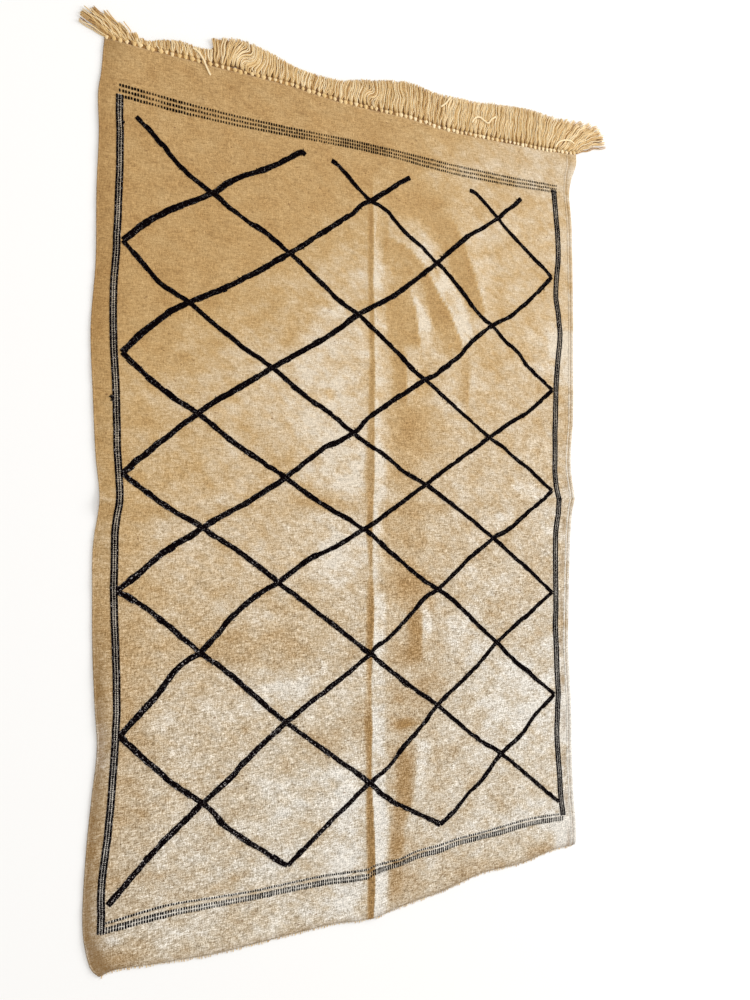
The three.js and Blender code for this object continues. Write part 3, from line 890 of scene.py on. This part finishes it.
# The border: three rows of ticks along each end, and at each side a ladder of rungs on a pale bed,
# with a few tufts of yarn, each (x, y, reach). `first` and `third` give the height of the upper and
# the lower row going across the rug, `middle` the share of the way between them where the middle
# row lies, `steps` how far apart the ticks stand up to each place, and `x` the middle of a ladder
# going up it. A pair of numbers is a range, `uneven` and `wander` are (spacing, size).
borderFacts = {
    "top": {
        "at": [-706, -500, -300, 0, 300, 500, 690],
        "first": [1068, 1058, 1057, 1063, 1060, 1063, 1070],
        "third": [1040, 1032, 1035, 1044, 1034, 1039, 1049],
        "steps": [(690, 7.5)], "lengths": [6.4, 6.4, 6.4], "width": 4.5, "narrowing": 0.14, "middle": 0.5,
    },
    "bottom": {
        "at": [-730, -560, -380, -150, 0, 15, 100, 160, 240, 290, 380, 460, 570, 700],
        "first": [-1060, -1046, -1055, -1055, -1063, -1055, -1052, -1040, -1036, -1029, -1024, -1019,
                  -1012, -1016],
        "third": [-1082, -1073, -1076, -1078, -1088, -1078, -1070, -1060, -1056, -1047, -1041, -1040,
                  -1031, -1035],
        "steps": [(-20, 6.6), (250, 7.0), (700, 7.6)], "lengths": [6.0, 7.6, 7.6],
        "width": 5.0, "narrowing": -0.12, "middle": 0.62,
    },
    "left": {
        "at": [-1080, -1000, -900, -800, -700, -600, -400, -240, -100, -50, 0, 60, 150, 300, 400, 560,
               660, 860, 1044],
        "x": [-730, -730, -724, -711, -706, -699, -701, -708, -706, -703, -696, -699, -704, -709, -715,
              -716, -709, -704, -706],
    },
    "right": {
        "at": [-1018, -960, -880, -740, -640, -560, -400, -200, -100, -60, -20, 60, 120, 300, 430, 570,
               620, 700, 850, 950, 1055],
        "x": [702, 694, 688, 679, 686, 681, 678, 679, 679, 684, 692, 684, 679, 682, 688, 703, 698, 686,
              698, 691, 680],
    },
    "tufts": [(-717, 258, 11), (-714, 190, 5), (-697, 975, 7), (-718, 640, 4)],
    "tick": {"weight": 0.95, "uneven": (45, 0.14), "weights": (0.7, 1.15), "strayX": 0.45, "strayY": 0.35,
             "lengthOf": (0.4, 0.6), "lengths": (0.88, 1.1), "widths": (0.88, 1.12)},
    "rung": {"pitch": 4.6, "gap": {"left": 6.5, "right": 7.2}, "closeness": {"left": 0.76, "right": 0.92},
             "rows": [(-1, 1.06, 0.55), (0, 1.3, 0), (0, 0.55, 0.6), (1, 1.06, 0.55)],
             "wander": (45, 0.8), "stray": 0.25, "uneven": 0.08, "widths": (0.94, 1.06)},
    "dip": {"depth": 0.35, "reach": 47, "sway": 1.7, "swayReach": 160},
    "tuft": {"ends": 9, "headings": (0.6, 1.4), "away": (0.5, 1), "inside": 3, "lift": 1, "thick": 1.5},
    "height": 1.4,
    "taper": 0.15,
    "steps": 3,
    "sides": 5,
    "lint": (0, 0.5),
    "bed": {"ladder": 9.0, "row": 3.4, "steps": 260, "sides": 6,
            "paler": [0.9, 0.9, 0.4, 0.4], "heights": [0.95, 0.95, 0.5, 0.5]},  # two ladders, two rows
    "seed": 21,
}


def ticksOf(x, y, length, width, facts):
    # Short flat tubes along the warps, centred on their places and tapered at both ends.
    steps = np.linspace(-0.5, 0.5, facts["steps"])
    atX, atY = x[:, None] + 0 * steps, y[:, None] + length[:, None] * steps
    taper = 1 - facts["taper"] * np.abs(2 * steps)
    path = onCloth(atX, atY, proud * facts["height"])
    return path, width[:, None] / 2 * taper, facts["height"] * np.broadcast_to(taper, atX.shape)


def makeEndTicks(facts, end, random):
    # Three rows of upright ticks one below the other, each tick as thick or thin in all three. Their
    # width falls in proportion to x, and their length is a share plus another share x weight.
    table, tick = facts[end], facts["tick"]
    x = spacedLines(table["at"][0], table["steps"])
    weight = np.clip(tick["weight"] + smoothNoise(random, x - x[0], *tick["uneven"]), *tick["weights"])
    weight = weight * (1 - table["narrowing"] * x / (clothFacts["width"] / 2))
    ownShare, weightShare = tick["lengthOf"]
    parts = []
    for share, rowLength in zip((0, table["middle"], 1), table["lengths"]):
        rowX = x + random.normal(0, tick["strayX"], len(x))
        first, third = readTable(table, "first", rowX), readTable(table, "third", rowX)
        y = first + (third - first) * share + random.normal(0, tick["strayY"], len(x))
        length = rowLength * (ownShare + weightShare * weight) * random.uniform(*tick["lengths"], len(x))
        width = table["width"] * weight * random.uniform(*tick["widths"], len(x))
        parts.append(ticksOf(rowX, y, length, width, facts))
    return parts


def makeSideLadder(facts, side, random):
    # A row is (its place beside the middle, its share of the gap between rows, what its closeness
    # has above the ladder's). The closeness is a rung's length in pitches: from 1 on the row is
    # solid, and below 1 the pale bed shows between the rungs. It dips with the fourth power of a
    # sine that sways.
    table, rung, dip = facts[side], facts["rung"], facts["dip"]
    gap = rung["gap"][side]
    y = np.arange(table["at"][0], table["at"][-1], rung["pitch"])
    swaying = np.sin(y / dip["reach"] + dip["sway"] * np.sin(y / dip["swayReach"]))
    closeness = rung["closeness"][side] - dip["depth"] * swaying**4
    wander = smoothNoise(random, y - y[0], *rung["wander"])
    parts = []
    for place, share, extra in rung["rows"]:
        rowY = y + random.normal(0, rung["stray"], len(y))
        x = readTable(table, "x", rowY) + wander + place * gap
        length = rung["pitch"] * (closeness + extra + random.normal(0, rung["uneven"], len(y)))
        width = gap * share * random.uniform(*rung["widths"], len(y))
        parts.append(ticksOf(x, rowY, length, width, facts))
    return parts


def makeTuft(x, y, reach, facts, random):
    # Short thick yarn ends that fan out to the left from one place beside a ladder. Their headings
    # are in half turns.
    tuft = facts["tuft"]
    heading = np.pi * random.uniform(*tuft["headings"], tuft["ends"])[:, None]
    away = random.uniform(*tuft["away"], tuft["ends"])[:, None] * reach * np.linspace(0, 1, facts["steps"])
    atX, atY = x + tuft["inside"] + away * np.cos(heading), y + away * np.sin(heading)
    thickness = np.full(atX.shape, tuft["thick"])
    return onCloth(atX, atY, tuft["lift"]), thickness, thickness


def makeBorder(facts):
    # All ticks, rungs and tufts in one mesh, the rungs and tufts each with a seeded share of lint.
    random = np.random.default_rng(facts["seed"])
    parts = makeEndTicks(facts, "top", random) + makeEndTicks(facts, "bottom", random)
    clean = sum(len(paths) for paths, _, _ in parts)
    parts += makeSideLadder(facts, "left", random) + makeSideLadder(facts, "right", random)
    parts += [makeTuft(*tuft, facts, random) for tuft in facts["tufts"]]
    paths, widths, heights = (np.concatenate(each) for each in zip(*parts))
    shade = random.uniform(*facts["lint"], len(paths)) * (np.arange(len(paths)) >= clean)
    return addYarns("border_yarns", paths, widths, heights, facts["sides"], shade,
                    "dark_wool", "ground_cloth")


def makeBorderBeds(facts):
    # Flat pale ribbons: one under each ladder, one under the upper row of the lower end and one
    # under its two others.
    bed = facts["bed"]
    paths, widths = [], []
    for side in ("left", "right"):
        y = np.linspace(facts[side]["at"][0], facts[side]["at"][-1], bed["steps"])
        paths.append(onCloth(readTable(facts[side], "x", y), y))
        widths.append(bed["ladder"] + 0 * y)
    rows = facts["bottom"]
    x = np.linspace(rows["at"][0], rows["at"][-1], bed["steps"])
    first, third = readTable(rows, "first", x), readTable(rows, "third", x)
    second = first + (third - first) * rows["middle"]
    paths += [onCloth(x, first), onCloth(x, (second + third) / 2)]
    widths = np.stack(widths + [bed["row"] + 0 * x, bed["row"] + (second - third) / 2])
    heights = np.array(bed["heights"])[:, None] + 0 * widths
    points, faceSets = layYarns(np.stack(paths), widths, heights, bed["sides"])
    paler = perPoint(bed["paler"], points)
    values = woolValues(points[..., 0], points[..., 1], np.zeros(points.shape[:3]), paler)
    return addPiece("border_beds", points, faceSets, "ground_wool", "ground_cloth", **values)


border = [makeBorder(borderFacts), makeBorderBeds(borderFacts)]
print("kilim: the border has", sum(len(piece.data.polygons) for piece in border), "faces")

# The fringe: tassels of warp ends. `length`, `lean` in degrees towards the right, and `width` of the
# bunch go across the rug; the tassels at the two corners are flung outwards. A curl is (x, distance
# up from the edge, reach, turn in radians).
fringeFacts = {
    "at": [-750, -725, -706, -690, -672, -640, -600, -560, -480, -465, -400, -350, -300, -240, -120,
           -60, 30, 130, 190, 260, 370, 400, 550, 610, 655, 705, 730, 750],
    "length": [88, 92, 77, 50, 32, 27, 42, 50, 50, 84, 100, 92, 78, 63, 70,
               84, 104, 118, 114, 119, 123, 127, 135, 130, 138, 165, 176, 158],
    "lean": [-78, -62, -54, -42, -22, -8, -16, -10, -8, 4, 20, 14, 4, 10, 14,
             10, 2, 0, 8, 14, 12, 12, 6, 14, 34, 52, 68, 81],
    "width": [34, 34, 33, 28, 22, 17, 16, 16, 16, 17, 17, 17, 16, 16, 16,
              16, 17, 17, 16, 16, 16, 16, 16, 17, 20, 25, 28, 32],
    "tassels": 92,
    "inset": 6,
    "steps": 11,
    "knotLength": 13,
    "underKnot": 4,
    "shortest": 8,
    "swing": (0.2, 55),  # in radians, and the length of its wave
    "rootLean": 0.6,  # the share of its lean with which a strand sets off
    "fan": (0.3, 0.35),  # a bunch's share of its width at the knot, and how far along it is full
    "drift": 23,  # how far across the rug the wave's phase moves on by a radian
    "curls": [(-375, 45, 34, 1.1), (8, 45, 26, 1.3), (112, 80, 24, -0.6)],
}

# The pieces of the fringe. A pair of numbers is a range that a size is drawn from, `root` is (depth,
# reach) of the shade at the knot, and `paler` and `cornerDarker` are rises going across the rug.
strandFacts = {
    "perTassel": 17, "layers": 3, "sides": 4, "spread": 1.15, "uneven": 0.1, "phases": 0.5,
    "stretch": (0.96, 1.01), "turn": 0.06, "ripple": 0.4, "ripples": 2.3, "height": 1.8, "layerStep": 1.9,
    "radius": 1.5, "radii": (0.85, 1.15), "thinner": 0.2, "shade": 0.5, "layerShade": 0.1,
    "paler": (0, 0.08, 100, 700), "cornerDarker": (0, 0.14, 670, 740), "shades": (-0.36, 0.36),
    "root": (0.25, 0.1), "seed": 31,
}
fringeBedFacts = {"columns": 190, "stretch": 0.93, "height": 0.1, "shades": (0.05, 0.45),
                  "root": (0.8, 0.15), "seed": 34}
knotFacts = {
    "rings": 9, "sides": 10, "open": 0.12, "sizes": (0.75, 1.05), "ribs": 0.16, "swell": 0.3,
    "strayX": 1.4, "middle": 4.5, "strayY": 1.2, "reach": (6.0, 7.2, 2.8), "height": 4.0,
    "shades": (0.5, 0.8), "paler": (0, 0.2, -200, 300), "seed": 32,
}
headerFacts = {"inset": 3, "steps": 300, "up": 6, "height": 1.7, "halfWidth": 6.5, "halfHeight": 1.6,
               "sides": 8, "shades": (0.0, 0.35), "seed": 33}


def topEdge(flat):
    # Where places across the cloth lie on its top edge.
    return clothPlan(flat, np.full(flat.shape, clothFacts["length"] / 2))


def acrossFringe(count):
    # Even places across the cloth's top edge.
    halfWidth = clothFacts["width"] / 2 - fringeFacts["inset"]
    return np.linspace(-halfWidth, halfWidth, count)


def fromRoot(row):
    # Painted shade where strands crowd into their knot, step by step: 1 - depth x e to the power
    # of minus (the share of the length / reach).
    depth, reach = row
    return 1 - depth * np.exp(-np.linspace(0, 1, fringeFacts["steps"]) / reach)


def flowPaths(facts, flat, side, stretch, turn, phase):
    # Where strands lie, seen from above. A strand sets off from its knot along its tassel's lean,
    # and its heading swings in a wave; its points add up the steps, `side` half widths of the bunch
    # to the right. A curl turns what lies round its middle. All but `facts` hold one number a strand.
    edgeX, edgeY = topEdge(flat)
    along = np.linspace(0, 1, facts["steps"])
    length = np.maximum(readTable(facts, "length", flat) - facts["knotLength"], facts["shortest"]) * stretch
    lean = np.radians(readTable(facts, "lean", flat)) + turn
    swing, waveLength = facts["swing"]
    wave = swing * np.sin(2 * np.pi * (length / waveLength)[:, None] * along + phase[:, None])
    heading = lean[:, None] * (facts["rootLean"] + (1 - facts["rootLean"]) * along) + wave
    step = (length / (facts["steps"] - 1))[:, None]
    goneX = (np.cumsum(np.sin(heading), axis=-1) - np.sin(heading[:, :1])) * step
    goneY = (np.cumsum(np.cos(heading), axis=-1) - np.cos(heading[:, :1])) * step
    narrow, fullAt = facts["fan"]
    fan = narrow + (1 - narrow) * np.minimum(along / fullAt, 1)
    outward = (side * readTable(facts, "width", flat) / 2)[:, None] * fan
    x = edgeX[:, None] + goneX + outward * np.cos(lean)[:, None]
    y = edgeY[:, None] + facts["knotLength"] - facts["underKnot"] + goneY - outward * np.sin(lean)[:, None]
    for curlX, curlUp, reach, curlTurn in facts["curls"]:
        _, edge = topEdge(np.array(float(curlX)))
        awayX, awayY = x - curlX, y - edge - curlUp
        swirl = curlTurn * bell(np.hypot(awayX, awayY), reach)
        x = curlX + awayX * np.cos(swirl) + awayY * np.sin(swirl)
        y = edge + curlUp + awayY * np.cos(swirl) - awayX * np.sin(swirl)
    return x, y


def makeStrands(facts):
    # The strands of a tassel lie side by side in layers, taken in turn, the upper ones paler: the
    # lower layers carry painted shade.
    random = np.random.default_rng(facts["seed"])
    flat = np.repeat(acrossFringe(fringeFacts["tassels"]), facts["perTassel"])
    count = len(flat)
    bunch = np.linspace(-facts["spread"], facts["spread"], facts["perTassel"])
    side = np.tile(bunch, fringeFacts["tassels"]) + random.normal(0, facts["uneven"], count)
    layer = np.tile(np.arange(facts["perTassel"]) % facts["layers"], fringeFacts["tassels"])
    phase = flat / fringeFacts["drift"] + random.normal(0, facts["phases"], count)
    stretch = random.uniform(*facts["stretch"], count)
    x, y = flowPaths(fringeFacts, flat, side, stretch, random.normal(0, facts["turn"], count), phase)
    along = np.linspace(0, 1, fringeFacts["steps"])
    turns = facts["ripples"] * along + random.uniform(0, 1, (count, 1))
    ripple = facts["ripple"] * np.sin(2 * np.pi * turns) * np.minimum(layer, 1)[:, None]
    z = facts["height"] + facts["layerStep"] * layer[:, None] + ripple
    radius = facts["radius"] * random.uniform(*facts["radii"], count)[:, None]
    radius = radius * (1 - facts["thinner"] * along**4)
    shade = facts["shade"] + facts["layerShade"] * layer + riseOf(facts["paler"], flat)
    shade = shade + random.uniform(*facts["shades"], count) - riseOf(facts["cornerDarker"], flat)
    shade = shade[:, None] * fromRoot(facts["root"])
    paths = np.stack([x, y, z], axis=-1)
    return addYarns("fringe_strands", paths, radius, radius, facts["sides"], shade,
                    "fringe_yarn", "warp_fringe")


def makeFringeBed(facts):
    # A thin sheet of warp ends under the strands, on the same flow, dark with painted shade between
    # the strands and darkest at the knots.
    random = np.random.default_rng(facts["seed"])
    flat = acrossFringe(facts["columns"])
    level = np.zeros(flat.shape)
    x, y = flowPaths(fringeFacts, flat, level, level + facts["stretch"], level, flat / fringeFacts["drift"])
    low = np.stack([x.T, y.T, np.full(x.T.shape, facts["height"])], axis=-1)
    points = np.stack([low, low + up])
    shade = random.uniform(*facts["shades"], flat.shape) * fromRoot(facts["root"])[:, None]
    shade = np.broadcast_to(shade, points.shape[:3])
    faceSets = closedSheetFaces(*x.T.shape)
    return addPiece("fringe_bed", points, faceSets, "fringe_yarn", "warp_fringe", shade=shade)


def makeKnots(facts):
    # A bulb for each knot, wider towards its strands, with slanted ribs where the warps wrap round
    # each other: a ring's radius is swell x sin polar, and swell is
    # size x (1 - a share of cos polar + ribs x cos(3 polar + 2 angle)).
    random = np.random.default_rng(facts["seed"])
    flat = acrossFringe(fringeFacts["tassels"])
    edgeX, edgeY = topEdge(flat)
    count, rings, sides = len(flat), facts["rings"], facts["sides"]
    polar = np.linspace(facts["open"], np.pi - facts["open"], rings)[None, :, None]
    angle = (2 * np.pi * np.arange(sides) / sides)[None, None, :]
    size = random.uniform(*facts["sizes"], (count, 1, 1))
    ribs = facts["ribs"] * np.cos(3 * polar + 2 * angle + random.uniform(0, 6, (count, 1, 1)))
    swell = size * (1 - facts["swell"] * np.cos(polar) + ribs)
    middleX = (edgeX + random.normal(0, facts["strayX"], count))[:, None, None]
    middleY = (edgeY + random.normal(facts["middle"], facts["strayY"], count))[:, None, None]
    reachX, reachY, reachZ = facts["reach"]
    x = middleX + reachX * swell * np.sin(polar) * np.cos(angle)
    y = middleY - reachY * size * np.cos(polar) + 0 * angle
    z = facts["height"] + reachZ * swell * np.sin(polar) * np.sin(angle)
    points = np.stack([x, y, z], axis=-1)
    quads, first, last = tubeFaces(count, rings, sides)
    faceSets = [np.roll(quads[:, ::-1], 1, axis=1), first[:, ::-1], last[:, ::-1]]
    shade = perPoint(random.uniform(*facts["shades"], count) + riseOf(facts["paler"], flat), points)
    return addPiece("fringe_knots", points, faceSets, "fringe_yarn", "warp_fringe", shade=shade)


def makeHeader(facts):
    # A flat cord under the knots, along the cloth's top edge, dark brown with painted shade in the
    # gaps between the knots.
    random = np.random.default_rng(facts["seed"])
    halfWidth = clothFacts["width"] / 2 - facts["inset"]
    x, y = topEdge(np.linspace(-halfWidth, halfWidth, facts["steps"]))
    path = np.stack([x, y + facts["up"], np.full(x.shape, facts["height"])], axis=-1)[None]
    wide, high = (np.full((1, len(x)), facts[name]) for name in ("halfWidth", "halfHeight"))
    shade = random.uniform(*facts["shades"], len(x))
    return addYarns("fringe_header", path, wide, high, facts["sides"], shade, "fringe_yarn", "warp_fringe")


fringe = [makeStrands(strandFacts), makeFringeBed(fringeBedFacts), makeKnots(knotFacts),
          makeHeader(headerFacts)]
print("kilim: the fringe has", sum(len(piece.data.polygons) for piece in fringe), "faces")

# Warp ends that lie loose: one over the cloth, one looped at the right corner and one curled over
# the tassels, each a route of (x, y, height).
strayFacts = {
    "routes": [
        [(-522, 1214, 8), (-507, 1207, 8), (-495, 1192, 9), (-483, 1170, 6), (-473, 1153, 4.5)],
        [(684, 1200, 8), (699, 1220, 9), (723, 1232, 9), (752, 1236, 8), (772, 1228, 5), (780, 1212, 3)],
        [(357, 1209, 8), (368, 1226, 9), (385, 1233, 9), (402, 1226, 9), (418, 1221, 9), (430, 1236, 9),
         (446, 1248, 9)],
        [(244, 1234, 8), (263, 1251, 9), (280, 1276, 8)],
    ],
    "steps": 20,
    "spacing": 2,
    "plies": [-1.1, 1.1],
    "radius": 1.5,
    "sides": 6,
    "shade": 0.95,
}


def makeStrays(facts):
    # Each is two plies side by side, on a smooth curve through its route.
    paths = []
    for route in facts["routes"]:
        travelled, x, y = evenPath([(atX, atY) for atX, atY, _ in route], facts["spacing"])
        at = np.linspace(0, travelled[-1], facts["steps"])
        z = np.interp(at, np.linspace(0, travelled[-1], len(route)), [height for _, _, height in route])
        rightX, rightY = sideways(x, y)
        for ply in facts["plies"]:
            atX = np.interp(at, travelled, x + ply * rightX)
            atY = np.interp(at, travelled, y + ply * rightY)
            paths.append(np.stack([atX, atY, z], axis=-1))
    radius = np.full((len(paths), facts["steps"]), facts["radius"])
    shade = np.full(len(paths), facts["shade"])
    return addYarns("fringe_strays", np.stack(paths), radius, radius, facts["sides"], shade,
                    "fringe_yarn", "warp_fringe")


fringe.append(makeStrays(strayFacts))

# The cords of the selvedges. The left one is a single cord. The right one is the strip outside
# `rightSeam` and a paler cord just inside it; their paler tone is a painted highlight along the
# ridges beside the seam.
selvedgeFacts = {
    "leftInset": 2.5,
    "leftHalfWidth": 2.2,
    "stripShare": 0.43,  # the strip's half width, in the seam's insets
    "innerStep": 6,
    "innerHalfWidth": 3.3,
    "widths": (0.88, 1.1),
    "heightShare": 0.6,
    "mostHeight": 1.4,
    "sunk": 0.2,
    "stray": 0.35,
    # painted highlight on the right strip and its inner cord, going up the rug
    "paler": {"at": [-1175, -700, -300, 100, 500, 1175], "inner": [0.2, 0.3, 0.6, 0.45, 0.15, 0.15]},
    "palerShares": [0, 0.4, 1],  # of the left cord, the strip and the inner cord
    "leftEdge": 0.7,  # the share of the cloth's browning, here painted shade along the left selvedge
    "rightEdge": 0.05,
    "fromEnds": (6, 2),
    "spacing": 12,
    "sides": 8,
    "seed": 41,
}


def makeSelvedgeCords(facts):
    # Long flat cords that follow an edge at a distance inside it, half sunk in the cloth.
    random = np.random.default_rng(facts["seed"])
    halfCloth, halfLength = clothFacts["width"] / 2, clothFacts["length"] / 2
    fromBottom, fromTop = facts["fromEnds"]
    y = np.arange(fromBottom - halfLength, halfLength - fromTop, facts["spacing"])
    seam = readTable(rightSeam, "inset", y)
    lines = [(facts["leftInset"] - halfCloth + 0 * y, facts["leftHalfWidth"] + 0 * y),
             (halfCloth - seam / 2, seam * facts["stripShare"]),
             (halfCloth - seam - facts["innerStep"], facts["innerHalfWidth"] + 0 * y)]
    paths, widths = [], []
    for x, halfWidth in lines:
        strayX = x + random.normal(0, facts["stray"], len(y))
        paths.append(onCloth(*clothPlan(strayX, y), -facts["sunk"]))
        widths.append(halfWidth * random.uniform(*facts["widths"], len(y)))
    widths = np.stack(widths)
    heights = np.minimum(facts["heightShare"] * widths, facts["mostHeight"])
    points, faceSets = layYarns(np.stack(paths), widths, heights, facts["sides"])
    x, y = points[..., 0], points[..., 1]
    paler = readTable(facts["paler"], "inner", y) * perPoint(facts["palerShares"], points)
    edge = np.where(x < 0, edgeShare(x, y) * facts["leftEdge"], facts["rightEdge"])
    values = woolValues(x, y, edge, paler)
    return addPiece("selvedge_cords", points, faceSets, "ground_wool", "ground_cloth", **values)


selvedgeCords = makeSelvedgeCords(selvedgeFacts)

# The cut warp ends at the bottom edge.
cutEndFacts = {
    "pitch": 6, "length": 7, "lengths": (0.5, 1.2), "swing": 0.25, "inside": 3, "steps": 4, "height": 1.6,
    "radius": 1.3, "radii": (0.8, 1.2), "thinner": 0.3, "shades": (0.35, 0.85), "sides": 5, "seed": 51,
}


def makeCutEnds(facts):
    # One short tapered yarn for each warp, straight down from the edge with a seeded swing.
    random = np.random.default_rng(facts["seed"])
    halfWidth = clothFacts["width"] / 2 - facts["pitch"]
    flat = np.arange(-halfWidth, halfWidth, facts["pitch"])
    x, y = clothPlan(flat, np.full(flat.shape, -clothFacts["length"] / 2))
    length = facts["length"] * random.uniform(*facts["lengths"], len(x))[:, None]
    swing = random.normal(0, facts["swing"], len(x))[:, None]
    steps = np.linspace(0, 1, facts["steps"])
    atX = x[:, None] + np.sin(swing) * length * steps
    atY = y[:, None] + facts["inside"] - np.cos(swing) * (length + facts["inside"]) * steps
    paths = np.stack([atX, atY, np.full(atX.shape, facts["height"])], axis=-1)
    radius = facts["radius"] * random.uniform(*facts["radii"], len(x))[:, None]
    radius = radius * (1 - facts["thinner"] * steps)
    shade = random.uniform(*facts["shades"], len(x))
    return addYarns("cut_warp_ends", paths, radius, radius, facts["sides"], shade,
                    "fringe_yarn", "ground_cloth")


cutEnds = makeCutEnds(cutEndFacts)
print("kilim: the edges are made")

# A plain pale floor, a large soft light low at the right, and a bright even surround.
studioFacts = {
    "floorHalf": 6.0,
    "floorColour": (0.93, 0.93, 0.93),
    "keyPlace": (6.8, 2.6, 3.6),
    "keySize": 4.0,
    "keyPower": 440,
    "surround": (1.0, 0.98, 0.95),
    "surroundStrength": 0.86,
}


def makeStudio(facts):
    # The lamp's tilt and heading come from the line from its place to the middle of the rug.
    half = facts["floorHalf"]
    corners = [(-half, -half, 0), (half, -half, 0), (half, half, 0), (-half, half, 0)]
    mesh = bpy.data.meshes.new("floor")
    mesh.from_pydata(corners, [], [(0, 1, 2, 3)])
    floor = bpy.data.objects.new("floor", mesh)
    material, _, shader = newMaterial("pale floor", roughness=0.8, sheen=0, gloss=0.1)
    shader.inputs["Base Color"].default_value = (*facts["floorColour"], 1)
    mesh.materials.append(material)
    bpy.context.scene.collection.objects.link(floor)
    lamp = bpy.data.lights.new("key", "AREA")
    lamp.size = facts["keySize"]
    lamp.energy = facts["keyPower"]
    key = bpy.data.objects.new("key", lamp)
    key.location = facts["keyPlace"]
    aimX, aimY, aimZ = -np.array(facts["keyPlace"])
    tilt = np.arccos(-aimZ / np.linalg.norm(facts["keyPlace"]))
    key.rotation_euler = (tilt, 0, np.arctan2(aimY, aimX) - np.pi / 2)
    bpy.context.scene.collection.objects.link(key)
    world = bpy.data.worlds.new("surround")
    world.use_nodes = True
    background = world.node_tree.nodes["Background"]
    background.inputs["Color"].default_value = (*facts["surround"], 1)
    background.inputs["Strength"].default_value = facts["surroundStrength"]
    bpy.context.scene.world = world
    bpy.context.scene.view_settings.view_transform = "Standard"


makeStudio(studioFacts)
print("kilim: the studio is set")
